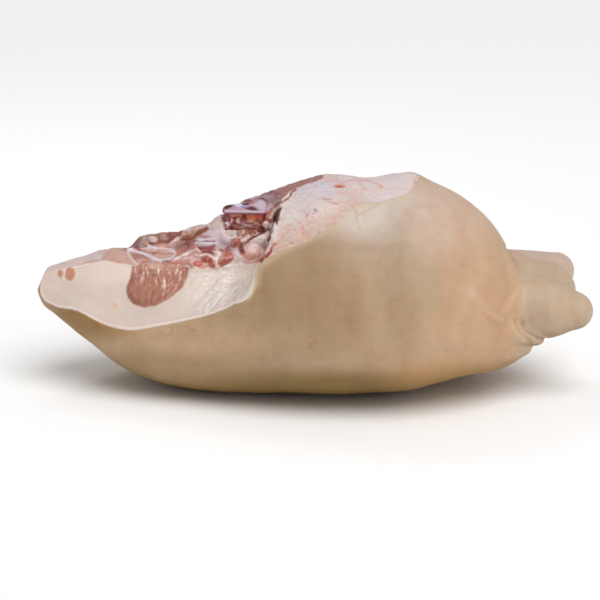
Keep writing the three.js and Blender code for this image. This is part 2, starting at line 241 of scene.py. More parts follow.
def trunk(x, y, z):
    dy, dz = y - trunk_y(x), z - trunk_z(x)
    across = np.abs(dy) / np.where(dy < 0, trunk_front(x), trunk_back(x))
    tall = np.abs(dz) / np.where(dz > 0, trunk_up(x), trunk_down(x))
    n = np.where(dz > 0, 1.9, 2.4)
    reach = np.maximum((across**n + tall**n) ** (1 / n), 1e-6)
    out = np.hypot(dy, dz) * (1 - 1 / reach)
    return trim(out, np.maximum(BUTT_END - x, x - KNEE_END), 11)


def hock(x, y, z):
    shin = stick(x, y, z, (162, -27, 77), (207, -37, 78), 33, 24)
    heel = stick(x, y, z, (207, -37, 78), (231, -38, 76.5), 24, 17)
    shank = stick(x, y, z, (162, 4, 80), (212, 1, 84), 33, 25)
    rear = stick(x, y, z, (160, 32, 88), (223, 38, 94), 29, 17)
    return join(join(join(shin, heel, 11), shank, 20), rear, 20)


def rolls(x, y, z):
    near = stick(x, y, z, (173, -67, 63), (197, -47, 54), 8, 6.5)
    far = stick(x, y, z, (166, -63, 48), (186, -45, 45), 10, 7)
    return join(near, far, 3.5)


def butt_height(x, y):
    back = y - edge_y(x)
    slab = SLAB * smoothstep(y, 50, 63) * smoothstep(x, -175, -162)
    fade = 1 - CLIMB_FADE * smoothstep(y, 22, 80)
    climb = CLIMB * fade * smoothstep(x, -130, -84) * smoothstep(y, -22, 18)
    lean = edge_z(x) - 0.04 * back + np.maximum(slab, climb)
    fat = edge_z(x) + edge_slope(x) * back + 3 * np.maximum(back, 0)
    return join(lean, fat, 4.5)


def cut_away(x, y, z):
    slope = np.hypot(1, edge_slope(x) * (1 - smoothstep(y, -27, -9)))
    above = (butt_height(x, y) - z) / slope
    before = x - wall_x(y)
    return trim(above, before, mix(50, 9, smoothstep(y, -63, -22)))


def trimmed(x, y, z):
    inside = np.minimum(np.minimum(y - rind_front(x), rind_back(x) - y), TRIM_END - x)
    return smoothstep(inside, -1, 3) * smoothstep(z, 90, 108)


def hip_bone(x, y, z):
    b = BONE
    along = x - b["left"]
    foot = b["top"] - b["cap"]
    under = 1 - smoothstep(z, foot - 1.2, foot + 0.6)
    pits = np.sin(0.69 * x + 0.55 * z) * np.sin(0.55 * y - 0.73 * z + 0.33 * x)
    inset = (b["lip"] + b["pits"] * pits) * under
    front = b["front"] + b["turn"] * along - y + inset
    back = 0.83 * (y - b["back"] - b["splay"] * along)
    waist = (z - (b["top"] + b["bottom"]) / 2) ** 2 / 600
    left = b["left"] - x + 0.6 * inset + 1 - waist
    plan = trim(trim(front, back, 5), trim(left, x - b["right"], 5), 5)
    lean = 0.05 * (y - b["front"]) - 0.5 * np.sin(0.12 * x + 0.1 * y)
    return trim(plan, trim(z - b["top"] - lean, b["bottom"] - z, 3), 3)


# Flesh that laps round the right end of the hip bone.
COLLAR = [
    ((-42.5, -1.5, 152), (2.6, 2.2, 4)),
    ((-42, -3.5, 146), (3.4, 3, 3.4)),
    ((-43.5, -4, 140), (3, 2.4, 3.6)),
    ((-44.5, -3, 148), (3.2, 3, 3.2)),
]
LAP = ((-41.5, 3, 155.5), (-41.5, 56, 156), 3.4, 3)


def flesh(x, y, z):
    d = join(trunk(x, y, z) + RIND * trimmed(x, y, z), hock(x, y, z), 14)
    d = join(d, rolls(x, y, z), 6)
    d = trim(d, -cut_away(x, y, z), 3.5)
    for c, r in MUSCLES:
        i = close_to(x, y, z, c, [v + 8 for v in r])
        d[i] = join(d[i], np.maximum(lump(x[i], y[i], z[i], c, r), d[i] - 3.5), 3)
    for c, r in SCRAPS:
        i = close_to(x, y, z, c, [v + 8 for v in r])
        d[i] = join(d[i], lump(x[i], y[i], z[i], c, r), 6.5)
    for c, r in HOLES:
        i = close_to(x, y, z, c, [v + 8 for v in r])
        d[i] = trim(d[i], -lump(x[i], y[i], z[i], c, r), 3)
    near_bone = close_to(x, y, z, (-64, 22, 141), (34, 40, 34))
    i = near_bone
    d[i] = np.maximum(d[i], 0.3 - hip_bone(x[i], y[i], z[i]))
    for c, r in COLLAR:
        i = close_to(x, y, z, c, [v + 4 for v in r])
        d[i] = join(d[i], lump(x[i], y[i], z[i], c, r), 1.2)
    d[near_bone] = join(d[near_bone], stick(x[near_bone], y[near_bone], z[near_bone], *LAP), 3)
    return trim(d, -z, SIT)


# ---------- from a field to a mesh ----------

BLOCK = 4


def lines(start, end, step):
    at = [start]
    while at[-1] < end or (len(at) - 1) % BLOCK:
        at.append(at[-1] + step(at[-1]) * FINE)
    at = np.array(at)
    return start + (at - start) * (end - start) / (at[-1] - start)


def sample(field, xs, ys, zs):
    """Values on the grid, exact near the surface and only right in sign far from it."""
    cx, cy, cz = xs[::BLOCK], ys[::BLOCK], zs[::BLOCK]
    coarse = np.meshgrid(cx, cy, cz, indexing="ij")
    c = field(*[v.ravel() for v in coarse]).reshape(coarse[0].shape)
    low, high = c[:-1, :-1, :-1].copy(), c[:-1, :-1, :-1].copy()
    for n in range(1, 8):
        i, j, k = [(n >> a) & 1 for a in range(3)]
        part = c[i: c.shape[0] - 1 + i, j: c.shape[1] - 1 + j, k: c.shape[2] - 1 + k]
        low, high = np.minimum(low, part), np.maximum(high, part)
    reach = 1.1 * np.sqrt(
        np.diff(cx)[:, None, None] ** 2 + np.diff(cy)[None, :, None] ** 2 + np.diff(cz)[None, None, :] ** 2
    )
    busy = (low < reach) & (high > -reach)
    for axis in range(3):
        busy, low = np.repeat(busy, BLOCK, axis), np.repeat(low, BLOCK, axis)
    shape = (len(xs), len(ys), len(zs))
    live = np.zeros(shape, bool)
    value = np.full(shape, 9.0, np.float32)
    for n in range(8):
        i, j, k = [(n >> a) & 1 for a in range(3)]
        at = (slice(i, shape[0] - 1 + i), slice(j, shape[1] - 1 + j), slice(k, shape[2] - 1 + k))
        live[at] |= busy
        value[at] = np.where(low < 0, -9.0, 9.0)
    i, j, k = np.nonzero(live)
    value[i, j, k] = field(xs[i], ys[j], zs[k])
    return value


def net(field, xs, ys, zs):
    """Vertices and quads of the surface where the field is zero."""
    value = sample(field, xs, ys, zs)
    inside = value < 0
    cells = np.zeros([n - 1 for n in value.shape], np.int8)
    for n in range(8):
        i, j, k = [(n >> a) & 1 for a in range(3)]
        cells += inside[i: cells.shape[0] + i, j: cells.shape[1] + j, k: cells.shape[2] + k]
    ci, cj, ck = np.nonzero((cells > 0) & (cells < 8))
    name = np.full(cells.shape, -1, np.int32)
    name[ci, cj, ck] = np.arange(len(ci))
    corner = []
    for n in range(8):
        i, j, k = ci + (n & 1), cj + ((n >> 1) & 1), ck + ((n >> 2) & 1)
        corner.append((value[i, j, k].astype(float), np.stack([xs[i], ys[j], zs[k]], 1)))
    total, count = np.zeros((len(ci), 3)), np.zeros(len(ci))
    for a in range(8):
        for axis in range(3):
            b = a | (1 << axis)
            if b == a:
                continue
            (va, pa), (vb, pb) = corner[a], corner[b]
            hit = (va < 0) != (vb < 0)
            t = np.where(hit, va / np.where(hit, va - vb, 1), 0)[:, None]
            total += np.where(hit[:, None], pa + (pb - pa) * t, 0)
            count += hit
    p = total / count[:, None]
    low = corner[0][1] - 0.4 * (corner[7][1] - corner[0][1])
    high = corner[7][1] + 0.4 * (corner[7][1] - corner[0][1])
    p = settle(field, p, low, high)
    quads = []
    for axis in range(3):
        u, v = (axis + 1) % 3, (axis + 2) % 3
        a = inside
        b = np.roll(inside, -1, axis)
        change = a != b
        for other, cut in ((axis, -1), (u, 0), (v, 0)):
            at = [slice(None)] * 3
            at[other] = cut
            change[tuple(at)] = False
        for other in (u, v):
            at = [slice(None)] * 3
            at[other] = -1
            change[tuple(at)] = False
        where = np.stack(np.nonzero(change), 1)
        out = a[tuple(where.T)]
        ring = []
        for du, dv in ((1, 1), (0, 1), (0, 0), (1, 0)):
            w = where.copy()
            w[:, u] -= du
            w[:, v] -= dv
            ring.append(name[tuple(w.T)])
        ring = np.stack(ring, 1)
        ring[~out] = ring[~out][:, ::-1]
        quads.append(ring)
    return p, np.concatenate(quads)


def settle(field, p, low, high, rounds=3):
    """Points moved onto the surface, each within its own box."""
    for _ in range(rounds):
        n = slope_of(field, p)
        step = field(p[:, 0], p[:, 1], p[:, 2]) / np.maximum((n**2).sum(1), 0.3)
        p = np.clip(p - n * np.clip(step, -1.5, 1.5)[:, None], low, high)
    return p


def refine(field, p, quads, rest, size_at):
    """Split in four the quads longer than size_at says; those beside them only get the new points."""
    side = np.sort(np.stack([quads, np.roll(quads, -1, 1)], 2), 2)
    long = np.linalg.norm(p[side[..., 0]] - p[side[..., 1]], axis=2).max(1)
    pick = long > size_at(p[quads].mean(1))
    key = side[..., 0].astype(np.int64) * len(p) + side[..., 1]
    split = np.unique(key[pick])
    slot = np.minimum(np.searchsorted(split, key), len(split) - 1)
    has = split[slot] == key
    middle = len(p) + slot
    centre = len(p) + len(split) + np.arange(pick.sum())
    a, b = p[split // len(p)], p[split % len(p)]
    new = np.concatenate([(a + b) / 2, p[quads[pick]].mean(1)])
    new = settle(field, new, new - 0.8, new + 0.8, 2)
    q, m = quads[pick], middle[pick]
    small = [np.stack([q[:, k], m[:, k], centre, m[:, k - 1]], 1) for k in range(4)]
    made = {key: len(p) + n for n, key in enumerate(split.tolist())}
    beside = ~pick & has.any(1)
    rings = []
    for ring in quads[beside].tolist() + rest:
        whole = []
        for one, two in zip(ring, ring[1:] + ring[:1]):
            whole.append(one)
            halfway = made.get(min(one, two) * len(p) + max(one, two))
            if halfway is not None:
                whole.append(halfway)
        rings.append(whole)
    return np.concatenate([p, new]), np.concatenate([quads[~pick & ~beside]] + small), rings


def slope_of(field, p, e=0.25):
    x, y, z = p.T
    signs = ((1, 1, 1), (1, -1, -1), (-1, 1, -1), (-1, -1, 1))
    n = np.zeros_like(p)
    for s in signs:
        value = field(x + e * s[0], y + e * s[1], z + e * s[2])
        n += value[:, None] * np.array(s, float)
    return n / (4 * e)


def normals_of(field, p):
    n = slope_of(field, p)
    return n / np.maximum(np.linalg.norm(n, axis=1), 1e-6)[:, None]


def to_metres(p):
    """Points in the part's own frame, whose origin is in the middle of the underside."""
    return (p - np.array([MIDDLE[0], MIDDLE[1], 0])) / 1000


def to_object(name, p, quads, rest=()):
    mesh = bpy.data.meshes.new(name)
    q = to_metres(p)
    size = np.array([4] * len(quads) + [len(ring) for ring in rest])
    loops = np.concatenate([quads.ravel()] + [np.array(ring) for ring in rest])
    mesh.vertices.add(len(q))
    mesh.vertices.foreach_set("co", q.astype(np.float32).ravel())
    mesh.loops.add(len(loops))
    mesh.loops.foreach_set("vertex_index", loops.astype(np.int32))
    mesh.polygons.add(len(size))
    mesh.polygons.foreach_set("loop_start", (np.cumsum(size) - size).astype(np.int32))
    mesh.polygons.foreach_set("use_smooth", np.ones(len(size), bool))
    mesh.update(calc_edges=True)
    mesh.validate()
    obj = bpy.data.objects.new(name, mesh)
    bpy.context.scene.collection.objects.link(obj)
    return obj


def give(obj, name, values):
    if values.ndim == 2:
        a = obj.data.attributes.new(name, "FLOAT_COLOR", "POINT")
        full = np.ones((len(values), 4), np.float32)
        full[:, :3] = values
        a.data.foreach_set("color", full.ravel())
    else:
        a = obj.data.attributes.new(name, "FLOAT", "POINT")
        a.data.foreach_set("value", values.astype(np.float32))


# ---------- painting tools ----------

NEAR = 16.0  # the most that any line or outline reaches, in pixels


def rgb(r, g, b):
    c = np.array([r, g, b]) / 255
    return np.where(c < 0.04045, c / 12.92, ((c + 0.055) / 1.055) ** 2.4)


def near_to(points, u, v):
    """The vertices close enough to the points for them to matter."""
    low, high = np.min(points, 0) - NEAR, np.max(points, 0) + NEAR
    return np.flatnonzero((u > low[0]) & (u < high[0]) & (v > low[1]) & (v < high[1]))


def outline(points, u, v):
    """Distance to a closed outline, negative inside it."""
    pts = np.array(points, float)
    far = np.full(u.shape, NEAR)
    i = near_to(pts, u, v)
    u, v = u[i], v[i]
    d = np.full(u.shape, NEAR)
    odd = np.zeros(u.shape, bool)
    for a, b in zip(pts, np.roll(pts, -1, 0)):
        e = b - a
        t = np.clip(((u - a[0]) * e[0] + (v - a[1]) * e[1]) / (e @ e), 0, 1)
        d = np.minimum(d, np.hypot(u - a[0] - t * e[0], v - a[1] - t * e[1]))
        if a[1] != b[1]:
            cross = (a[1] > v) != (b[1] > v)
            odd ^= cross & (u < a[0] + (v - a[1]) * e[0] / e[1])
    far[i] = np.where(odd, -d, d)
    return far


def path(points, u, v):
    """Distance to an open line with its corners rounded, and how far along it from 0 to 1."""
    pts = np.array(points, float)
    if len(pts) > 2:
        cuts = np.stack([mix(pts[:-1], pts[1:], 0.25), mix(pts[:-1], pts[1:], 0.75)], 1).reshape(-1, 2)
        pts = np.concatenate([pts[:1], cuts[1:-1], pts[-1:]])
    far, at = np.full(u.shape, NEAR), np.zeros(u.shape)
    i = near_to(pts, u, v)
    u, v = u[i], v[i]
    d, along = np.full(u.shape, NEAR), np.zeros(u.shape)
    for n, (a, b) in enumerate(zip(pts[:-1], pts[1:])):
        e = b - a
        t = np.clip(((u - a[0]) * e[0] + (v - a[1]) * e[1]) / (e @ e), 0, 1)
        near = np.hypot(u - a[0] - t * e[0], v - a[1] - t * e[1])
        along = np.where(near < d, (n + t) / (len(pts) - 1), along)
        d = np.minimum(d, near)
    far[i], at[i] = d, along
    return far, at


def within(d, soft):
    return 1 - smoothstep(d, -soft, soft)


def blob(u, v, at, size, soft=0.35):
    q = np.hypot((u - at[0]) / size[0], (v - at[1]) / size[1])
    return 1 - smoothstep(q, 1 - soft, 1 + soft)


def turned_blob(u, v, at, size, soft, turn):
    c, s = math.cos(turn), math.sin(turn)
    du, dv = u - at[0], v - at[1]
    return blob(du * c + dv * s, dv * c - du * s, (0, 0), size, soft)


class Paint:
    """Colour, wetness and relief of each vertex, laid on in order."""

    def __init__(self, count):
        self.color = np.zeros((count, 3))
        self.wet = np.zeros(count)
        self.height = np.zeros(count)

    def lay(self, mask, color=None, wet=None):
        if color is not None:
            self.color += (color - self.color) * mask[:, None]
        if wet is not None:
            self.wet += (wet - self.wet) * mask

    def shade(self, mask, factor):
        self.color *= 1 + (np.array(factor) - 1) * mask[:, None]


# ---------- mesh of the ham ----------

# Where each vertex lies in the photograph, in its pixels: the outlines below are read off it.
DISTANCE, AIM_HEIGHT = 1800, 85.5  # in millimetres
EYE = np.array([0, -math.cos(TILT), math.sin(TILT)]) * DISTANCE + np.array([0, 0, AIM_HEIGHT])
FOCAL, VIEW_AT = 1980, (315, 290)  # in pixels

# How long the quads' sides are, in millimetres, and the zones where they are short: left, right, top and
# foot, in pixels.
CUT_QUAD, RIND_QUAD, HIDDEN_QUAD = 1.5, 3.4, 9.0
CUT_ZONE = (120, 284, 200, 312)
VESSEL_ZONE = (266, 298, 186, 214)
RIDGE_ZONE = (256, 326, 0, 203)
RIM_TOP, RIND_FOOT = 262, 340


def seen_at(q):
    d = q - EYE
    deep = d[:, 1] * math.cos(TILT) - d[:, 2] * math.sin(TILT)
    rise = d[:, 1] * math.sin(TILT) + d[:, 2] * math.cos(TILT)
    return VIEW_AT[0] + FOCAL * d[:, 0] / deep, VIEW_AT[1] - FOCAL * rise / deep


def in_zone(zone, u, v):
    left, right, top, foot = zone
    return (u > left) & (u < right) & (v > top) & (v < foot)


def quad_size(q):
    """Quads are small in the cut, middling where the photograph shows the rind, and large elsewhere."""
    x, y, z = q.T
    u, v = seen_at(q)
    n = normals_of(flesh, q)
    facing = math.sin(TILT) * n[:, 2] - math.cos(TILT) * n[:, 1]
    seen, crest = facing > -0.12, (facing > -0.5) & (x < 20) & (z > 140)
    cut = cut_away(x, y, z)
    size = np.where(crest | seen & ((v < RIND_FOOT) | (x > 150)), RIND_QUAD, HIDDEN_QUAD)
    rim = (cut > -4) & (cut < 5) & (v > RIM_TOP) & (x < -45)
    inner = (cut < 3) & in_zone(CUT_ZONE, u, v) | in_zone(VESSEL_ZONE, u, v)
    ridge = crest & in_zone(RIDGE_ZONE, u, v) & (np.abs(cut) < 4)
    return np.where(ridge | seen & (rim | inner), CUT_QUAD, size) * FINE


def graded(low, high, fine, coarse):
    """Steps of a grid that are fine from low to high."""
    return lambda at: fine if low < at < high else coarse


p, quads = net(
    flesh,
    lines(-262, 262, graded(-90, -34, 2.0, 4.5)),
    lines(-146, 140, graded(-22, 10, 2.2, 4.7)),
    lines(-14, 198, graded(114, 160, 2.0, 4.5)),
)
rest = []
for _ in range(2):
    p, quads, rest = refine(flesh, p, quads, rest, quad_size)
normal = normals_of(flesh, p)
x, y, z = p.T
t = trunk(x, y, z)
hk = np.minimum(hock(x, y, z), rolls(x, y, z))
cut = cut_away(x, y, z)
bare = trimmed(x, y, z)

u, v = seen_at(p)
paint = Paint(len(p))
big = layers(x / 70, y / 70, z / 70, 3)
mid = layers(x / 22 + 5, y / 22, z / 22, 3)
small = layers(x / 6, y / 6 + 3, z / 6, 3)
warp_u = u + 0.9 * layers(x / 7, y / 7, z / 7 + 40, 2)
warp_v = v + 0.9 * layers(x / 7 + 31, y / 7, z / 7, 2)
front = smoothstep(-normal[:, 1], -0.35, 0.0)


# ---------- what the photograph shows, in its pixels ----------

OUTLINES = {
    "lean_tip": [
        (38, 274), (45, 266), (57, 259), (80, 250), (103, 247), (104.5, 256.5), (100, 260.5), (86, 262.5),
        (74, 266.5), (60, 269),
    ],
    "lean_left": [
        (103.5, 259.5), (108, 247), (127, 243), (128, 253), (131, 260), (137, 264.4), (120, 263),
        (108, 260.6),
    ],
    "slab_left": [
        (122, 251), (130, 240), (137, 233), (152, 229), (158, 236), (158, 243), (150, 247), (138, 248.6),
    ],
    "slab_middle": [(155, 229), (166, 227), (170, 240), (166, 243), (158, 243.6)],
    "slab_right": [(163, 228), (174, 223), (189, 222), (184, 233), (173, 239), (168, 241.6)],
    "under_slab": [(148, 248), (158, 243.6), (168, 241.4), (175, 240), (181, 242), (173, 248), (158, 248)],
    "white_tendon": [(169.6, 244.2), (173, 240), (178, 237.4), (182.4, 236), (180.6, 241), (175, 243.8)],
    "beside_tendon": [(171, 240.6), (180, 234), (185, 230.6), (184.6, 236.4), (178, 237.8)],
    "far_edge": [
        (182, 230), (190, 222), (204, 217), (213, 219), (210, 229), (203, 230), (195, 234), (186, 236),
    ],
    "small_brown": [(180, 238.2), (184.4, 236), (190, 236.6), (194.4, 238.6), (188, 240.4), (181, 240.4)],
    "triangle": [
        (129.6, 250.8), (139, 252.4), (146, 255.4), (154, 260), (161, 262), (147, 263.6), (138, 262.8),
        (133, 259.4),
    ],
    "inside_ring": [
        (148, 250), (156, 247.6), (168, 249.2), (174.4, 252.4), (171, 256.6), (162, 258), (153, 255),
    ],
    "middle_muscle": [
        (160, 262.4), (172, 257), (177, 252), (176.6, 247.5), (172, 245.6), (181, 241.4), (193, 240),
        (198, 242.4), (197.4, 250.6), (190, 252.2), (183, 256), (176, 259), (170, 262),
    ],
    "pink_muscle": [
        (168, 262), (178, 258.4), (186, 254.6), (193, 252.2), (200, 253.4), (206, 256), (203, 259.6),
        (196, 259.4), (192, 262.4), (180, 261.6),
    ],
    "under_pink": [
        (166, 262), (176, 261.2), (184, 261.2), (190, 264.6), (184, 264.4), (176, 265.6), (170, 264.4),
    ],
    "orange_left": [(192.8, 262), (196, 259.4), (201.4, 260), (203, 264.4), (199, 266.8), (194.6, 265.8)],
    "orange_right": [
        (201, 256.4), (204, 254.4), (209.4, 255.8), (213.6, 259.4), (211.5, 262.8), (204.6, 263.2),
        (200.4, 260),
    ],
    "striped_end": [(208, 263), (214.6, 260.6), (216.6, 265), (215.4, 269.4), (209, 267.6)],
    "round_lean": [
        (216.8, 263.6), (218, 257.6), (222.2, 254.4), (221.4, 251), (225, 249.6), (234.2, 253.6),
        (232.6, 260), (228, 263.6), (221.4, 267.2),
    ],
    "slope": [
        (203, 226), (213, 216), (223, 208), (223, 224), (227, 229), (214, 231), (205, 236.6), (201, 235),
        (209.5, 228.8),
    ],
    "wide_tendon": [
        (195, 238.6), (204, 233.8), (212, 230), (222, 228), (231, 229), (232.4, 240), (231, 246),
        (222, 249), (214, 246.2), (206, 246.4), (196, 243.6),
    ],
    "dark_muscle": [
        (196.4, 246.2), (204, 246.8), (209, 245.8), (215.8, 245), (214.2, 250), (217.4, 255.2),
        (211, 253.8), (203.4, 254), (199.6, 250.6),
    ],
    "dark_bits": [
        (217.6, 248.4), (223, 249), (226.6, 247.2), (230, 245.4), (232.2, 250.8), (226, 250.6),
        (221, 251.2),
    ],
    "fat_between": [
        (213.2, 251), (218, 250.4), (222.2, 251.4), (218.6, 256.6), (216.8, 262.6), (213, 258.6),
        (217, 255.6),
    ],
    "lilac_column": [
        (231.6, 247), (238, 249.6), (240, 255), (244, 257), (241, 259), (236, 254.6), (232, 253),
    ],
    "torn": [
        (221, 210), (262, 212), (272, 208), (273, 222), (271.4, 229.6), (262, 232.6), (254, 237.6),
        (249, 242), (245.4, 246.6), (244, 255), (238.4, 252.4), (232.6, 249), (231, 240), (225.6, 229.6),
        (222, 222),
    ],
    "brown_fan": [
        (244.6, 232.4), (249, 227.2), (254, 223.8), (258, 222.4), (255.4, 229), (251.8, 233.6),
        (247, 235.4),
    ],
    "tongue": [
        (249.4, 241.4), (255, 237.2), (262, 232.6), (270, 230), (274.6, 233), (273.4, 237), (266, 241),
        (263, 247), (257, 244.4),
    ],
    "recess": [
        (261.6, 247.2), (264, 241.2), (268, 237.2), (270, 231), (274.6, 227), (275, 240), (269.6, 247),
        (265.6, 251),
    ],
    "ball": [
        (244.2, 253), (246, 247), (249.4, 243.2), (253, 242.2), (258, 244.4), (261, 247), (263.4, 251.4),
        (260, 256), (255, 259.4), (250, 260.8), (245, 258.6),
    ],
    "wall": [(270.4, 222), (276, 222), (277.4, 229), (275, 238), (272, 240), (271.6, 231), (268.6, 229.4)],
    "vessel": [
        (271.8, 221), (273.6, 214.6), (277.6, 209.6), (282, 205), (281.4, 209), (279.8, 215.4), (279, 221),
        (276.6, 225.4), (275.2, 222),
    ],
    "band": [
        (236, 206), (238, 194), (258, 186), (300, 176), (324, 168), (322.5, 178.6), (310, 183),
        (303, 185.4), (295, 189), (290, 192.4), (280, 200), (272, 208), (262, 212.4),
    ],
    "fat_corner": [
        (236.6, 302.6), (242.6, 300.8), (247, 297.8), (250.6, 293), (252.8, 286), (254.2, 277),
        (256.6, 267), (260.6, 262), (252, 268), (246, 280), (236, 296),
    ],
    "cap_back": [
        (234, 206), (240, 199), (250, 195), (262, 193.6), (273, 196), (278, 199.6), (274, 205), (266, 212),
        (256, 212),
    ],
    "round_muscle": [
        (131.5, 266.5), (130.5, 278), (127, 288), (127.8, 297.5), (133, 304), (144, 308), (155, 306),
        (169, 298.6), (182, 288), (187, 278), (189.5, 268.5), (180, 264.5), (163, 263), (150, 263.4),
        (140, 264.6),
    ],
}
STROKES = {
    "tip_line": [(88, 262), (97, 260.8), (103.5, 258.6), (104, 255.5), (100, 251)],
    "tip_fat": [(60, 270.5), (68, 269.5), (78, 266.8), (88, 264)],
    "tip_gap": [(65, 268.5), (64.5, 274), (63.6, 279)],
    "dark_seam": [(139, 253), (144, 256), (150, 260)],
    "peach_band": [(131, 257), (133, 261.4), (138, 264.6), (150, 264.8)],
    "tendon_cross": [(128.6, 249.8), (136, 251.2), (142, 252.6), (148, 255.8), (153, 258.8)],
    "ring_low": [(152, 258), (159, 260), (166, 260), (172, 257.6)],
    "ring_right": [(172, 257.6), (175.4, 254), (174, 250.6), (168, 248.8), (160, 248.6)],
    "ring_top": [(128, 249.2), (138, 248.6), (148, 248), (156, 247)],
    "ring_left": [(127.4, 249), (128.4, 254), (131, 259.6), (136, 263.4)],
    "inner_vein": [(152.8, 254.2), (156, 252.4), (160.4, 250.2)],
    "upper_white": [(148, 246), (153, 247), (158, 248.4)],
    "yellow": [(186, 234.8), (190.8, 233.4)],
    "ochre": [(187.6, 238.8), (194, 237.8), (199, 235.8)],
    "cream_lip": [(175, 258.4), (183, 254.8), (190, 251.6), (197, 249.8), (201.6, 252)],
    "orange_lip": [(192, 254), (198, 253.6), (203, 255)],
    "thin_dark": [(186.6, 262.6), (190, 264.4), (192.4, 266.8)],
    "slope_orange": [(211.6, 225), (213.4, 220.6), (215.6, 217.4)],
    "white_slip": [(194.6, 239.4), (201, 240.7), (208, 240.4)],
    "white_slip_low": [(196, 243), (206, 245.4), (216, 244)],
    "slit_dark": [(203.6, 241.7), (209, 241.3), (215.6, 242)],
    "white_seam": [(200.6, 256), (204, 254), (210, 255), (214.4, 259.6), (216.6, 263)],
    "white_seam_low": [(215.4, 264), (217.2, 268)],
    "torn_slit": [(249.4, 239.6), (254.4, 236.4), (259, 233.8), (263.4, 231.8), (269.6, 230)],
    "ball_edge": [(244.4, 250), (246.4, 246.2), (249.6, 242.6), (253, 241.4)],
    "under_ball": [(240, 258), (246, 262), (252, 262.2), (258, 259.6), (262, 257)],
    "under_ball_red": [(244, 262.4), (250, 263.2), (256, 261.6), (260, 260.6)],
    "red_gap": [(262, 260.6), (265, 256.4), (269, 252), (271.4, 247.6), (275, 243.4)],
    "red_gap_high": [(273, 247), (277.6, 241.6), (281.4, 238.6), (284, 233.6), (290, 228.6)],
    "deep_red": [(265.6, 256.4), (269, 252.6), (270.8, 249.4)],
    "gap_lip": [(262.6, 257), (266, 251), (271, 244.6), (277, 238.4)],
    "slit": [(270, 211), (276, 205.4), (283.4, 201), (288, 197.4), (291.6, 192.6), (296, 188.6)],
    "slit_lip": [(272.8, 206.6), (278, 202.4), (285, 198.2), (289.6, 193.2), (294.6, 188.2)],
    "band_rim": [(296, 188.4), (303.5, 185), (313, 181.2), (323, 178.8), (331, 178.4)],
    "vessel_lip": [(271.6, 221), (271.4, 215), (274.6, 210), (281.4, 204.8)],
    "wall_edge": [(282.6, 205.6), (280.6, 214), (279, 222), (277, 232), (275, 239)],
    "fat_nick": [(232, 307), (238, 303), (240, 297), (242, 300)],
}
# Veins and creases of the membrane: points, width, colour, strength, depth.
MEMBRANE_LINES = {
    "long_vein": (
        [
            (327, 179.3), (335, 180), (341, 182.8), (347, 181),
            (352, 179), (363, 180.4), (371, 181), (382, 186),
        ],
        0.5, (208, 132, 128), 0.75, 0.3,
    ),
    "branch": ([(359, 182), (362, 187), (366, 190)], 0.5, (216, 150, 146), 0.7, 0.3),
    "pale_branch": ([(334, 193.6), (344, 194.2)], 0.5, (224, 166, 164), 0.7, 0.3),
    "short_branch": ([(350, 192.8), (355, 191)], 0.6, (222, 156, 152), 0.7, 0.3),
    "crease": (
        [(322.5, 198), (327, 199.6), (330, 201.2), (336, 203.4), (341, 201.8)],
        0.6, (202, 118, 100), 0.9, 0.8,
    ),
    "crease_up": ([(327.6, 196.4), (332, 200.4)], 0.5, (206, 134, 116), 0.8, 0.5),
    "wrinkle": ([(298, 211), (304, 210), (309, 211.5), (312, 208)], 0.5, (182, 164, 168), 0.8, 0.7),
    "wrinkle_low": ([(302, 215), (307, 213), (312, 214), (317, 211.5)], 0.5, (190, 150, 152), 0.8, 0.7),
    "wrinkle_right": ([(317, 204), (321, 206), (325, 209), (326, 213)], 0.4, (196, 172, 166), 0.7, 0.6),
    "fold": ([(299, 222), (302.6, 225), (301, 231), (304, 234)], 0.6, (212, 140, 124), 0.8, 0.8),
    "fold_right": ([(303, 228), (307, 224.6), (311, 222)], 0.5, (214, 150, 136), 0.7, 0.6),
    "tear": ([(279, 235.6), (284, 229.6), (287.4, 225.4), (293, 223.4)], 0.5, (212, 150, 132), 0.7, 0.7),
    "tear_low": ([(275, 250.4), (281, 246.6), (287, 244.4), (293, 243)], 0.7, (212, 146, 114), 0.75, 0.6),
    "tear_end": ([(297, 240.4), (304, 237.6), (311, 236)], 0.7, (226, 168, 136), 0.7, 0.5),
    "pink_edge": ([(331, 218.6), (338, 215), (345, 211.4), (351, 204.6)], 0.7, (222, 166, 156), 0.7, 0.4),
    "cream_fold": ([(338, 222), (344, 214), (350, 208)], 0.7, (236, 214, 204), 0.7, -0.5),
    "right_end": (
        [(404, 198.6), (406.6, 194), (412, 190), (414.6, 184), (415, 178)],
        0.7, (212, 160, 148), 0.85, 0.6,
    ),
    "right_vein": ([(400, 188.6), (405, 188.2), (410, 188.6)], 0.5, (222, 152, 150), 0.7, 0.2),
}
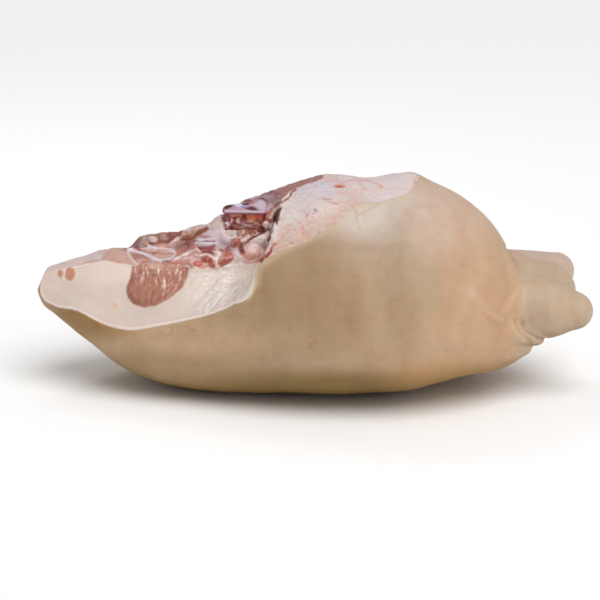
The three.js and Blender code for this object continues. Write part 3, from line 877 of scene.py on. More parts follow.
# Patches of colour: the middle, the half lengths, the turn, the colour, the strength. The dark and ochre
# spots below the knob are its painted shadow.
SPOTS = {
    "knob": ((152.8, 239.4), (4.6, 3.2), 0.2, (210, 180, 175), 0.85),
    "knob_left": ((146, 238.2), (4.4, 1.1), -0.2, (180, 150, 142), 0.7),
    "knob_ochre_shadow": ((147.4, 243.6), (2.2, 1.2), 0.5, (194, 116, 64), 1.0),
    "knob_shadow": ((150, 244.1), (1.8, 1.1), 0, (100, 46, 40), 1.0),
    "knob_shadow_dot": ((153.4, 243.5), (0.9, 0.9), 0, (106, 70, 66), 1.0),
    "knob_shadow_side": ((157.4, 242.2), (1.8, 0.9), -0.4, (134, 86, 76), 0.8),
    "red_blot": ((167.2, 242.4), (2.6, 1.0), -0.3, (152, 70, 66), 0.9),
    "lilac_end": ((188.2, 230), (2.6, 1.8), -0.3, (216, 206, 218), 0.9),
    "red_start": ((137.4, 249.4), (3.4, 0.9), 0.1, (204, 84, 76), 1.0),
    "triangle_red": ((143.4, 261.8), (3.2, 0.9), 0.1, (186, 92, 74), 0.9),
    "triangle_pale": ((152.6, 260.8), (4.4, 1.1), 0.15, (190, 156, 152), 0.9),
    "orange_side": ((178.6, 249.4), (3.0, 4.4), 0, (192, 138, 110), 0.7),
    "fat_end": ((187.2, 266.4), (3.4, 1.4), 0.4, (222, 200, 194), 0.8),
    "bright_end": ((202.4, 267.4), (2.8, 1.2), -0.2, (210, 126, 94), 0.9),
    "dark_heart": ((206.8, 260), (4.6, 2.4), 0.2, (162, 66, 50), 0.9),
    "pink_heart": ((228, 256), (3.4, 3.0), 0, (184, 96, 88), 0.7),
    "tendon_red": ((205.6, 236.9), (5.6, 1.7), 0, (186, 122, 130), 0.9),
    "orange_dot": ((226, 234.6), (1.4, 1.4), 0, (214, 160, 140), 0.8),
    "fat_spot": ((115, 305), (1.9, 2.7), 0, (226, 176, 144), 0.8),
    "fat_blush": ((97, 283), (9, 7), 0, (236, 204, 188), 0.2),
}
TORN_SPOTS = {
    "grey_lump": ((232.6, 234), (6.4, 4.4), 0, (212, 204, 200), 0.9),
    "grey_shade": ((237.6, 233.6), (1.5, 3.4), 0, (128, 116, 116), 0.85),
    "pale_lump": ((243.4, 227), (3.8, 2.8), -0.3, (200, 180, 174), 0.85),
    "black_red": ((253.5, 227.6), (1.3, 1.8), 0.4, (70, 16, 18), 1.0),
    "cream_bead": ((248.4, 236.4), (2.0, 1.4), -0.3, (232, 222, 212), 1.0),
    "cream_lump": ((244.4, 239.8), (3.4, 2.2), -0.5, (226, 208, 190), 0.9),
    "pink_side": ((258, 227), (3.2, 4.6), 0.3, (208, 158, 148), 0.8),
    "pearl": ((266, 225.2), (3.0, 3.2), 0, (232, 208, 200), 0.95),
    # A painted highlight on the pearl.
    "pearl_highlight": ((266, 223.4), (1.5, 1.2), 0, (248, 240, 232), 0.9),
    "red_knot": ((266, 213.8), (4.4, 4.6), 0, (160, 58, 52), 0.65),
    "deep_spot": ((259.6, 221), (1.9, 1.4), 0, (120, 20, 24), 1.0),
    "low_red": ((236.6, 243.6), (2.6, 3.4), 0.3, (184, 76, 60), 0.6),
    "low_dark": ((241.4, 249.8), (2.4, 5.0), -0.1, (122, 58, 58), 0.95),
}
BONE_SPOTS = {
    "left_front": ((226.4, 214), (4.6, 2.4), 0, (120, 44, 46), 0.9),
    "left_edge": ((223.4, 213), (1.2, 4), 0, (168, 92, 76), 0.7),
    "tan_wedge": ((237, 214.8), (6.8, 2.2), -0.1, (212, 150, 118), 0.95),
    "wedge_foot": ((234.6, 217.8), (5, 0.9), -0.3, (136, 50, 42), 0.9),
    "dark_middle": ((244.8, 217), (3.0, 3.2), 0.4, (108, 30, 34), 0.9),
    "orange": ((252.8, 216.4), (6.4, 3.0), -0.2, (222, 122, 80), 0.95),
    "orange_red": ((260, 215.4), (4, 3.6), 0, (218, 98, 72), 0.9),
    "tan": ((251.4, 221), (5, 1.6), -0.2, (214, 164, 134), 0.9),
    "tan_foot": ((252, 223.4), (5.4, 0.8), -0.2, (110, 44, 36), 0.9),
    "plum": ((243, 222.4), (3.4, 2.6), 0, (172, 116, 126), 0.8),
    "white_one": ((226.6, 224.6), (2.8, 3.2), 0.3, (232, 214, 218), 0.9),
    "white_two": ((231.6, 220.8), (0.9, 2.6), 0.2, (228, 208, 214), 0.9),
    "white_three": ((238.2, 220.6), (1.7, 2.4), -0.2, (228, 194, 196), 0.9),
    "stripe": ((234.8, 221.6), (1.0, 3.4), 0, (130, 64, 74), 0.9),
    "low_dark": ((231.2, 227.4), (1.7, 2.4), 0.3, (116, 44, 52), 0.95),
    "low_plum": ((235, 227), (1.6, 2.2), 0, (152, 112, 118), 0.8),
    "left_plum": ((225.4, 218), (3.0, 4.0), 0, (132, 84, 96), 0.85),
    "grey_low": ((246, 226), (6.4, 2.2), -0.1, (190, 156, 152), 0.8),
    "grey_right": ((256, 225), (3.6, 2.6), 0.3, (200, 150, 140), 0.7),
}
CAP_SPOTS = {
    "left_red": ((227.4, 206.6), (6.0, 2.3), -0.25, (76, 8, 8), 1.0),
    "back_red": ((246.4, 203.4), (4.8, 2.0), -0.3, (92, 16, 16), 1.0),
    "long_red": ((251, 208.2), (8.2, 1.9), 0.16, (88, 8, 26), 1.0),
    "lilac_arc": ((244.4, 206.2), (4.6, 1.3), 0.1, (160, 146, 200), 0.9),
    # A painted highlight on the cap.
    "cap_highlight": ((238.6, 205), (3.4, 1.9), 0, (214, 206, 224), 0.9),
    "pink_left": ((233.4, 208), (3.8, 1.2), -0.1, (168, 128, 146), 0.8),
    "pink_dot": ((240, 209.4), (2.2, 0.8), 0, (190, 150, 144), 0.8),
    "pink_back": ((254, 201.4), (5.2, 2.2), -0.2, (176, 126, 126), 0.85),
    "scratch": ((252.4, 202.6), (1.9, 0.6), -0.4, (150, 46, 46), 0.8),
    "right_pale": ((262, 205.4), (6.4, 4.8), 0, (200, 184, 198), 0.85),
}
# Single dabs: the middle, the half lengths, how soft, the turn, the colour, the strength and the wetness. The
# ball's dabs are painted shade and highlights, and the lens's shine and the vessel's sheen are painted
# highlights.
DABS = {
    "amber": ((339.6, 185.6), (5.8, 1.7), 0.35, 0, (202, 112, 66), 1, 0.8),
    "amber_heart": ((339, 185.8), (2.6, 0.9), 0.35, 0, (170, 78, 34), 1, 0.8),
    "amber_small": ((381, 186.8), (2.4, 1.1), 0.35, 0, (216, 158, 116), 1, None),
    "grey_dot": ((315, 209.7), (1.9, 1.1), 0.35, 0, (112, 106, 112), 0.9, None),
    "red_dash": ((307.4, 215.4), (2.0, 0.8), 0.4, 0.4, (182, 76, 76), 0.9, None),
    "pink_dash": ((311.4, 217.4), (1.6, 0.7), 0.35, 0, (206, 108, 110), 0.8, None),
    "brown_lens": ((201.8, 232.6), (10.4, 3.2), 0.25, -0.54, (148, 66, 30), 1, 0.6),
    "lens_shine": ((196, 230.4), (6, 0.9), 0.4, -0.5, (176, 118, 98), 0.6, 0.8),
    "lens_end": ((203, 230.8), (6.6, 2.7), 0.3, -0.5, (140, 66, 36), 0.85, 0.8),
    "tip_dot": ((70.2, 274.2), (5.4, 6.4), 0.22, 0, (192, 136, 110), 1, 0.7),
    "tip_dot_small": ((60.6, 273.4), (2.2, 4), 0.22, 0, (192, 136, 110), 1, 0.7),
    "ball_underside_shade": ((250, 256.4), (6.4, 3.4), 0.5, 0.1, (210, 142, 120), 0.75, 0.95),
    "ball_highlight": ((254.6, 246.4), (3.6, 1.6), 0.5, 0.3, (236, 206, 200), 0.7, 1.0),
    "ball_side_highlight": ((256, 251.4), (3.6, 1.3), 0.5, -0.5, (240, 214, 202), 0.5, 1.0),
    "vessel_sheen": ((277.6, 213), (1.0, 2.6), 0.4, 0.4, (116, 70, 68), 0.5, 0.8),
    "cap_back_red": ((247.4, 200.4), (4.6, 1.5), 0.35, 0, (134, 60, 56), 0.9, None),
}
AMBER_DENT = (6, 2)
# Broad soft patches: the middle, the half lengths, how soft, the colour, the strength.
CLOUDS = {
    "lilac": ((315, 189), (26, 11), 0.5, (206, 196, 206), 0.75),
    "grey": ((309, 205), (15, 11), 0.5, (196, 179, 179), 0.6),
    "cream": ((325, 212), (14, 10), 0.5, (226, 210, 200), 0.5),
    "pale_left": ((291, 212), (9, 16), 0.5, (206, 196, 189), 0.7),
    "light_fat": ((110, 272), (30, 10), 0.7, (228, 209, 197), 0.8),
}
# Where a tone starts and where it is full.
ACROSS = {
    "rosy": (380, 470), "pale_membrane": (310, 390), "folds": (430, 350), "fine_folds": (400, 330),
    "glossy_fat": (165, 215), "ragged": (180, 195), "gristle_right": (292, 262), "gristle_left": (246, 256),
    "satin": (262, 280), "cap_left": (225.4, 223.4),
}
DOWN = {"recess": (240, 246), "gristle": (195, 200.5), "fringe": (270.5, 266.5)}
GRISTLE_LEVEL = 200
# The round muscle's shine: its level, from its foot up to its top, and less of it from the right to the left.
SHINE_MIDDLE, SHINE_FOOT, SHINE_TOP, SHINE_RIGHT, SHINE_LEFT, SHINE_END = 285, 302, 276, 158, 134, 150
FRINGE = [((155.6, 266), (7, 4)), ((176, 266), (14, 2.2))]
STRAND_ZONE = ((232, 268), (214, 246))
LOBE_STAIN = [(512, 251), (519, 254), (528, 257)]
CAP_RIM = (222, 211.2)
BAND_AT, BAND_REACH = (-36, 30), (52, 38)  # in millimetres
# Broad tones of the rind: the middle, the half lengths, the colour, the strength. Some are painted light: a
# soft highlight on the top, shade beside the lip and under the membrane's edge, shade along the foot and the
# lower left, and a shadow at the left tip.
TONES = {
    "pale_top_and_highlight": ((388, 218), (66, 36), (210, 197, 187), 0.9),
    "lip_shade": ((262, 281), (5, 16), (140, 112, 78), 0.7),
    "edge_shade": ((330, 246), (46, 6), (158, 130, 102), 0.5),
    "edge_tan": ((330, 250), (60, 22), (172, 144, 116), 0.6),
    "khaki": ((298, 290), (66, 46), (160, 130, 96), 0.9),
    "khaki_low": ((262, 338), (72, 30), (166, 139, 105), 0.7),
    "cream_column": ((408, 280), (32, 58), (163, 136, 105), 0.7),
    "brown_smear": ((350, 305), (11, 34), (166, 128, 96), 0.7),
    "pink_shoulder": ((458, 222), (44, 40), (198, 169, 148), 0.85),
    "orange_side": ((484, 282), (30, 44), (192, 156, 124), 0.85),
    "orange_foot": ((470, 345), (52, 34), (193, 159, 125), 0.8),
    "left_lip": ((178, 342), (95, 19), (190, 159, 122), 0.85),
    "left_low_shade": ((150, 366), (100, 13), (160, 130, 88), 0.7),
    "left_tip_shadow": ((78, 322), (44, 22), (146, 108, 50), 0.9),
    # Painted shade along the foot, where the ham meets the floor.
    "foot": ((330, 388), (130, 16), (113, 88, 16), 0.8),
    "foot_right": ((450, 378), (60, 18), (195, 147, 96), 0.75),
}
# Creases of the rind by the hock: points, width, depth, and the colour of the painted shade along each.
CREASES = {
    "fold_line": ([(516.4, 285), (510.4, 297), (504, 304.6), (498.4, 312)], 0.9, 1.3, (196, 148, 120)),
    "valley": ([(483, 314), (489, 320.6), (495, 325), (500, 327)], 1.8, 1.0, (192, 146, 114)),
    "fold_low": ([(515.6, 321), (518.6, 330), (527.6, 339), (531, 342)], 0.8, 1.6, (182, 136, 102)),
    "fold_lowest": ([(522.4, 321), (526, 330), (539, 338.8), (546, 339.4)], 0.9, 2.0, (150, 104, 74)),
    "fold_middle": ([(508, 322), (516, 321), (522, 318)], 0.8, 0.9, (200, 160, 130)),
    "knee": ([(507, 247), (513, 258), (519, 266)], 1.0, 1.2, (178, 142, 114)),
}
RIDGES = {
    "long_ridge": ([(472, 294), (477, 299), (482, 304.4), (491, 315.6), (499, 319.6)], 4.4, 2.2),
    "side_ridge": ([(518, 290), (512, 302), (507, 311)], 5.0, 1.2),
    "roll": ([(510.6, 319), (514, 329), (523, 341)], 3.0, 1.2),
    "upper_roll": ([(504, 256), (511, 268), (516, 278)], 4.0, 0.8),
}
# Thin marks on the rind: points, width, colour, strength. The two soft creases are painted shade.
MARKS = {
    "long_stain": ([(352.5, 205), (355, 209), (356.4, 213)], 1.1, (190, 148, 126), 0.75),
    "stain_below": ([(357, 215), (357.4, 222), (358.6, 229)], 0.9, (192, 152, 130), 0.6),
    "soft_crease_shade": ([(356, 216), (364, 212.5), (372, 208.6), (379, 204)], 1.0, (190, 164, 144), 0.5),
    "low_crease_shade": ([(384, 246), (390, 241), (402, 238.4), (420, 236.6)], 1.6, (200, 174, 148), 0.25),
    "left_nick": ([(100.4, 325), (106, 328), (111, 334), (113.6, 339)], 0.8, (168, 122, 88), 0.6),
    "left_nick_two": ([(104, 331), (108, 336)], 0.7, (166, 120, 86), 0.5),
    "crescent": ([(163, 335.6), (169, 334.6), (172.6, 331), (170, 327)], 0.8, (174, 130, 98), 0.6),
    "crescent_two": ([(186, 326), (190, 330), (195, 330.6)], 0.8, (170, 126, 92), 0.55),
    "crescent_three": ([(192, 334), (197, 336.6), (203, 335)], 0.8, (174, 132, 98), 0.55),
    "vein": ([(457, 262), (461, 272), (464, 282), (467, 292)], 0.6, (182, 156, 146), 0.5),
    "vein_low": ([(467, 292), (470, 300)], 0.5, (186, 156, 142), 0.4),
    "vein_high": ([(484, 226), (489, 236), (495, 246)], 0.6, (186, 164, 160), 0.5),
    "shoulder_vein": ([(455, 206), (463, 214), (470, 226)], 0.8, (198, 168, 160), 0.4),
    "down_vein": ([(391, 216), (393.4, 221), (394.4, 226)], 0.7, (192, 166, 146), 0.5),
    "red_dot": ([(411.6, 331), (412, 331.4)], 0.6, (132, 100, 86), 0.8),
    "amber_dot": ([(454.6, 301), (455.4, 301.4)], 1.0, (214, 160, 108), 0.7),
    "purple_dots": ([(375, 201), (380, 203.6)], 0.8, (196, 152, 150), 0.6),
    "purple_dot": ([(396, 201), (398, 201.6)], 0.9, (184, 152, 150), 0.6),
}
# Scattered short ticks: the middle, the half lengths, the count.
TICKS = {
    "low": ((311, 342), (12, 8), 12),
    "middle": ((293, 316), (4, 15), 7),
    "foot": ((330, 350), (60, 22), 6),
}
# The upper edge of the fat, behind which the lean starts.
RIM_EDGE = [
    (36, 272), (45, 269.5), (59, 268.5), (77, 266.6), (95, 262), (104, 259.8), (117, 261.4), (124, 263),
    (132, 264.8), (150, 264.4), (163, 263.6), (172, 264), (182, 266.4), (190, 268.8), (196, 266.6),
    (204, 268.6), (210, 268), (216, 269.6), (222, 267), (228, 264), (232.6, 259), (233.4, 254.4),
    (239, 258.6), (245, 262.4), (254, 263), (264, 262), (285, 262),
]

# The cut edge of the rind at the right end of the fat, and on from there round the trimmed top.
RIGHT_LIP = [
    (236.6, 302.8), (242.6, 301), (247, 297.8), (250.6, 293), (252.8, 286), (254.2, 277), (256.6, 267),
    (260.6, 262),
]
RIND_LIP = [
    (256, 284), (257, 272), (264, 262), (275, 254.6), (290, 246.6), (310, 238), (325, 229.5), (340, 220),
    (353, 204.5), (366, 202), (385, 199.5), (404, 198),
]

# ---------- painting the ham ----------


def area(name, soft=0.7, rough=0.0):
    d = outline(OUTLINES[name], warp_u, warp_v) + rough * small
    return within(d, soft), d


def line(points, width, soft=0.5):
    d, along = path(points, warp_u, warp_v)
    return within(d - width, soft), along


def spot(at, size, soft=0.35, turn=0.0):
    return turned_blob(warp_u, warp_v, at, size, soft, turn)


def touch(on, *names):
    """Dabs of DABS within a mask. Returns the last one's mask."""
    for name in names:
        at, size, soft, turn, color, strength, wet = DABS[name]
        k = on * spot(at, size, soft, turn) * strength
        paint.lay(k, rgb(*color), wet)
    return k


def cloud(on, *names):
    for name in names:
        at, size, soft, color, strength = CLOUDS[name]
        paint.lay(on * blob(u, v, at, size, soft) * strength, rgb(*color))


def strands(angle, fine=1.3, length=14):
    """Streaks that run along a direction of the photograph."""
    c, s = math.cos(angle), math.sin(angle)
    along, across = u * c + v * s, v * c - u * s
    bend = layers(u / 12, v / 12, x * 0 + angle, 2)
    return layers((across + 1.4 * bend) / fine, along / length, x * 0 + 7 * angle, 2)


fibre = {"flat": strands(-0.1), "rising": strands(-0.45), "steep": strands(-1.1)}

# The rind: cream on top with a soft painted highlight, tan in the middle, pinker towards the hock, brown
# underneath, with upright streaks. Its downward faces, foot and lower left are darkened as painted shade, and
# its left tip carries a painted shadow.
paint.color[:] = rgb(184, 154, 122)
for at, size, color, strength in TONES.values():
    paint.lay(strength * blob(u + 9 * big, v + 6 * big, at, size, 0.65), rgb(*color))
paint.lay(smoothstep(x, 172, 190) * 0.9, rgb(185, 162, 138))
# Painted shade: the rind turns dark brown where it faces down.
paint.lay(smoothstep(-normal[:, 2], 0.35, 0.95) * 0.7, rgb(134, 104, 40))
back_side = smoothstep(normal[:, 1], 0.0, 0.6)
paint.lay(0.7 * back_side * smoothstep(z, 30, 120), rgb(198, 172, 146))
blotches = layers(*turned(x / 22 + 5, y / 22, z / 22), 3)
streaks = layers(*turned(u / 24 + 0.4 * big, v / 95, x / 300), 3)
threads = layers(*turned((u + 6 * big) / 10, v / 50 + 3, x / 300 + 7), 1)
specks = layers(*turned(x / 11 + 8, y / 11, z / 9), 2)
rosy = smoothstep(u, *ACROSS["rosy"])[:, None]
paint.shade(smoothstep(streaks, -0.05, 0.45), (1.035, 1.04, 1.045))
dark_streak = mix(np.array([0.95, 0.93, 0.9]), np.array([0.975, 0.91, 0.87]), rosy)
paint.shade(smoothstep(-streaks, 0.0, 0.45), dark_streak)
paint.shade(smoothstep(threads, 0.0, 0.5) * smoothstep(blotches, -0.3, 0.3), (1.02, 1.03, 1.04))
paint.shade(smoothstep(-threads, 0.05, 0.5) * smoothstep(-blotches, -0.3, 0.3), (0.98, 0.955, 0.93))
paint.shade(smoothstep(blotches, 0.1, 0.6), (1.01, 0.95, 0.9))
paint.shade(smoothstep(-blotches, 0.1, 0.6), (1.03, 1.05, 1.07))
paint.shade(smoothstep(specks, 0.1, 0.6), (0.97, 0.925, 0.895))
paint.shade(smoothstep(-specks, 0.1, 0.6), (1.03, 1.035, 1.035))
paint.wet[:] = 0.34
rind_zone = smoothstep(t, -1.3, -0.6) * (1 - bare)
rind_zone = np.maximum(rind_zone, smoothstep(hk, 2.5, 0.5) * smoothstep(x, 150, 162))
facing = front * rind_zone
paint.height += rind_zone * (0.4 * blotches + 0.6 * big + 0.3 * streaks + 0.12 * specks)
for at, size, count in TICKS.values():
    for _ in range(count):
        a = np.array(at) + np.array(size) * _rng.uniform(-1, 1, 2)
        b = a + np.array([_rng.uniform(1.5, 4.5), _rng.uniform(-1.2, 0.6)])
        g, _ = line([a, b], 0.35, 0.6)
        paint.lay(g * facing * _rng.uniform(0.25, 0.6), rgb(162, 108, 76))
for points, width, color, strength in MARKS.values():
    g, _ = line(points, width, 0.9)
    paint.lay(g * facing * strength, rgb(*color))
# Each crease is dented and darkened along its line with painted shade.
for points, width, depth, color in CREASES.values():
    g, _ = line(points, width, 0.9)
    paint.lay(g * facing * 0.6, rgb(*color))
    d, _ = path(points, u, v)
    paint.height -= facing * depth * np.exp(-((d / (1.7 * width)) ** 2))
# Each ridge is raised and lightened along its crest with a painted highlight.
for points, width, rise in RIDGES.values():
    d, _ = path(points, u, v)
    k = np.exp(-((d / width) ** 2))
    paint.height += facing * rise * k
    paint.lay(facing * 0.25 * k, rgb(212, 178, 148))

# The trimmed top: a pale membrane with lilac and warm patches, and torn orange-pink fat along the rind.
membrane = bare * smoothstep(t, -3.6, -2.9)
edge_near = np.minimum(np.minimum(y - rind_front(x), rind_back(x) - y), TRIM_END - x)
warm = smoothstep(edge_near, 30, 4) * smoothstep(x, 60, 20)
shred = layers((u - v) / 9 + 0.5 * mid, (u + v) / 3.0, x * 0, 3)
folds = 1 - np.abs(layers((u + 0.7 * v) / 13 + 2, (v - 0.4 * u) / 6.5, x * 0 + 3, 3)) * 2.4
folds = np.clip(folds, -1, 1)
m = membrane
paint.lay(m, rgb(211, 194, 187), 0.62)
paint.lay(m * smoothstep(u, *ACROSS["pale_membrane"]) * 0.8, rgb(219, 204, 203))
paint.lay(m * smoothstep(mid, -0.1, 0.5) * 0.5, rgb(214, 188, 182))
cloud(m, "lilac", "grey", "cream", "pale_left")
paint.lay(m * warm * 0.75, rgb(203, 171, 155))
paint.lay(m * warm * smoothstep(shred, 0.15, 0.6) * 0.35, rgb(200, 144, 124))
paint.lay(m * warm * smoothstep(-shred, 0.1, 0.5) * 0.7, rgb(226, 207, 194))
# Painted shade along the fold grooves, and a little lighter between them.
paint.shade(m * smoothstep(folds, 0.7, 1.0) * smoothstep(u, *ACROSS["folds"]), (0.93, 0.86, 0.85))
paint.shade(m * smoothstep(-folds, 0.0, 0.6), (1.05, 1.05, 1.05))
fine_folds = 1 - 2.6 * np.abs(layers((u - 0.5 * v) / 5.5 + 2, (v + 0.6 * u) / 3.4, x * 0 + 5, 2))
fine_at = smoothstep(u, *ACROSS["fine_folds"])
# Painted shade along the fine fold grooves as well.
paint.shade(m * smoothstep(fine_folds, 0.7, 1.0) * fine_at, (0.95, 0.9, 0.89))
paint.height += m * (warm * (0.5 * shred + 0.2 * small) + 0.4 * mid + 0.05 * small)
paint.height -= m * (0.5 * smoothstep(folds, 0.5, 1.0) + 0.18 * smoothstep(fine_folds, 0.5, 1.0) * fine_at)
veins = np.abs(layers(u / 14 + 3, v / 9, x * 0 + 1.5, 2))
paint.lay(m * smoothstep(veins, 0.035, 0.0) * smoothstep(mid, 0.0, 0.3) * 0.5, rgb(208, 136, 130))
for points, width, color, strength, depth in MEMBRANE_LINES.values():
    g, _ = line(points, width)
    paint.lay(g * front * strength * np.maximum(m, bare), rgb(*color))
    paint.height -= depth * g * np.maximum(m, bare)
touch(m, "amber", "amber_heart", "amber_small", "grey_dot", "red_dash", "pink_dash")
paint.height -= m * 0.8 * spot(DABS["amber"][0], AMBER_DENT)
lip = 4 * bare * (1 - bare) * smoothstep(t, -3.4, -2.6) * front
paint.lay(lip * 0.8, rgb(232, 210, 186))
d, _ = path(RIND_LIP, u, v)
paint.lay(facing * smoothstep(d, 8, 1) * 0.5, rgb(206, 180, 152))
for name, width, color, rise in (
    ("slit_lip", 0.9, (232, 212, 200), 0.8),
    ("band_rim", 0.6, (222, 180, 170), 0.4),
    ("slit", 0.7, (140, 58, 54), -0.9),
):
    g, _ = line(STROKES[name], width)
    paint.lay(g * front, rgb(*color), 0.8)
    paint.height += rise * g * front

# The cut: first the white fat with the rind's thickness along its rim, then the lean behind the fat's edge.
deep = smoothstep(-t, 2.7, 3.7) * smoothstep(hk, -4, 2) * smoothstep(cut, 6, 3)
deep = np.maximum(deep, smoothstep(-t, 5, 7))
rim = smoothstep(-t, 1.2, 1.8) * (1 - bare) * smoothstep(-x, 10, 30)
rim = rim * smoothstep(cut, 4, 2) * smoothstep(hk, 0, 4)
paint.lay(rim * 0.9, rgb(236, 221, 212), 0.4)
paint.lay(deep, rgb(215, 196, 184), 0.55)
cloud(deep, "light_fat")
right = smoothstep(u, *ACROSS["glossy_fat"])
paint.lay(deep * right * 0.85, rgb(212, 197, 188), 0.9)
stroke = strands(2.24, 2.2, 20)
stroke_b = strands(2.3, 4.6, 36)
glint = layers(x / 3.6, y / 3.6, z / 3.6 + 2, 2)
paint.shade(deep * right * smoothstep(stroke, 0.0, 0.5), (0.95, 0.93, 0.905))
# Painted highlights on the wet fat: pale glossy streaks along its striations and dotted glints.
paint.lay(deep * right * smoothstep(-stroke, 0.1, 0.5) * 0.4, rgb(236, 227, 218), 1.0)
paint.lay(deep * right * smoothstep(glint, 0.2, 0.45) * 0.45, rgb(242, 235, 227), 1.0)
paint.shade(deep * right * smoothstep(-glint, 0.15, 0.5), (0.96, 0.94, 0.915))
paint.height += deep * right * (0.3 * stroke + 0.5 * stroke_b + 0.25 * glint)
paint.height += deep * (1 - right) * (0.25 * mid + 0.1 * small)
paint.lay(deep * smoothstep(mid, 0.1, 0.6) * 0.3, rgb(228, 198, 182))
paint.shade(deep * smoothstep(small, 0.2, 0.6) * 0.5, (0.97, 0.94, 0.93))
pink_rim = smoothstep(-t, 2.6, 3.4) * smoothstep(-t, 6, 4.4) * deep
paint.lay(pink_rim * (0.3 + 0.4 * smoothstep(small, 0, 0.5)), rgb(222, 180, 174))
g, _ = line(STROKES["fat_nick"], 0.8)
paint.lay(deep * g * 0.7, rgb(222, 164, 164))

d, along = path(RIGHT_LIP, u, v)
seen = front * smoothstep(y, 40, 10)
grow = smoothstep(along, 0.05, 0.4)
paint.lay(seen * grow * within(d - 3.4, 1.2) * 0.85, rgb(208, 184, 154), 0.5)
k = seen * within(outline(OUTLINES["fat_corner"], u, v), 0.6)
paint.lay(k, rgb(214, 199, 188), 0.9)
paint.shade(k * smoothstep(stroke, 0.0, 0.5), (0.95, 0.93, 0.905))
# Painted glints, as on the fat beside it.
paint.lay(k * smoothstep(glint, 0.2, 0.45) * 0.45, rgb(240, 232, 224), 1.0)
paint.lay(seen * within(d - 0.8, 0.7) * 0.9, rgb(236, 224, 214), 0.6)

edge_at = np.array(RIM_EDGE)
edge = np.interp(warp_u, edge_at[:, 0], edge_at[:, 1])
ragged = smoothstep(u, *ACROSS["ragged"]) * 1.2 * layers(x / 3.2, y / 3.2, z / 3.2, 2)
lean = deep * smoothstep(edge - warp_v + ragged, -0.6, 0.6)
paint.lay(lean, rgb(202, 160, 148), 0.8)
paint.height += lean * (0.45 * mid + 0.25 * small)


def patch(name, color, way="flat", wet=0.85, grain=0.5, rise=0.6, soft=0.7, pale=(226, 200, 194)):
    """A muscle or tendon: its colour with streaks, a bulge, and a groove round it."""
    k, d = area(name, soft)
    k = k * deep
    paint.lay(k, rgb(*color), wet)
    paint.shade(k * smoothstep(fibre[way], 0.05, 0.5) * grain, (0.74, 0.66, 0.66))
    paint.lay(k * smoothstep(-fibre[way], 0.15, 0.5) * grain * 0.6, rgb(*pale))
    paint.height += deep * (rise * smoothstep(-d, 0, 3.5) - 0.45 * np.exp(-(np.minimum(np.abs(d), 9) ** 2)))


def stroke_on(name, width, color, strength=1.0, rise=0.6, on=None, wet=0.8):
    g, _ = line(STROKES[name], width)
    g = g * (deep if on is None else on)
    paint.lay(g * strength, rgb(*color), wet)
    paint.height += rise * g


def dab(table, *names, on=None, rise=0.5):
    for name in names or table:
        at, size, turn, color, strength = table[name]
        k = spot(at, size, 0.35, turn) * (deep if on is None else on)
        paint.lay(k * strength, rgb(*color), 0.9)
        bright = sum(color) / 765
        paint.height += rise * (2.4 * bright - 1.3) * k


patch("lean_tip", (214, 189, 184), grain=0.5)
stroke_on("tip_line", 0.5, (170, 120, 112), 0.6, 0)
stroke_on("tip_fat", 0.9, (238, 222, 212), 0.9)
patch("lean_left", (206, 158, 140), grain=0.6)
patch("slab_left", (148, 106, 99), "rising", grain=0.5, pale=(176, 148, 142))
patch("slab_middle", (150, 108, 90), "rising", grain=0.4, pale=(166, 128, 110))
patch("slab_right", (144, 78, 68), "rising", 0.6, 0.6, pale=(170, 114, 104))
patch("under_slab", (196, 138, 124), "rising", grain=0.7, rise=0.2)
patch("far_edge", (198, 162, 155), "rising", grain=0.6, rise=0.2)
patch("beside_tendon", (192, 144, 132), "rising", grain=0.6)
patch("white_tendon", (234, 218, 214), "rising", grain=0.3, rise=1.0)
# The knob, with its shadow painted below it in dark and ochre spots.
dab(SPOTS, "knob", "knob_left", "knob_ochre_shadow", "knob_shadow", "knob_shadow_dot", "knob_shadow_side", "red_blot", "lilac_end")
patch("small_brown", (154, 84, 62), "rising", 1.0)
paint.height += touch(deep, "brown_lens")
touch(deep, "lens_shine")
stroke_on("yellow", 0.8, (226, 182, 120))
stroke_on("ochre", 0.6, (190, 132, 76), 0.9, 0)
patch("middle_muscle", (196, 132, 124), "rising", 0.8, 0.7, 0.3)
dab(SPOTS, "orange_side", rise=0)
patch("pink_muscle", (200, 150, 143), "rising", grain=0.7)
patch("under_pink", (190, 116, 92), "rising", grain=0.7)
stroke_on("cream_lip", 0.8, (234, 212, 200), 0.95, 0.5)
stroke_on("orange_lip", 0.5, (208, 132, 104), 0.8, 0)
patch("triangle", (176, 118, 104), "flat", 0.8, 0.5)
stroke_on("dark_seam", 0.8, (152, 92, 80), 0.9, -0.3)
patch("inside_ring", (202, 162, 150), "flat", 0.8, 0.5, 0.3)
stroke_on("inner_vein", 0.5, (166, 106, 108), 0.9, 0)
dab(SPOTS, "triangle_red", "triangle_pale", rise=0)
stroke_on("peach_band", 1.0, (222, 178, 158), 0.9)
RING = {
    "ring_left": 0.6, "tendon_cross": 1.3, "ring_low": 1.2, "ring_right": 1.2, "ring_top": 0.5,
    "upper_white": 0.8,
}
for name, width in RING.items():
    stroke_on(name, width, (222, 211, 219), 0.85, 0.5, wet=0.7)
dab(SPOTS, "red_start", rise=0)

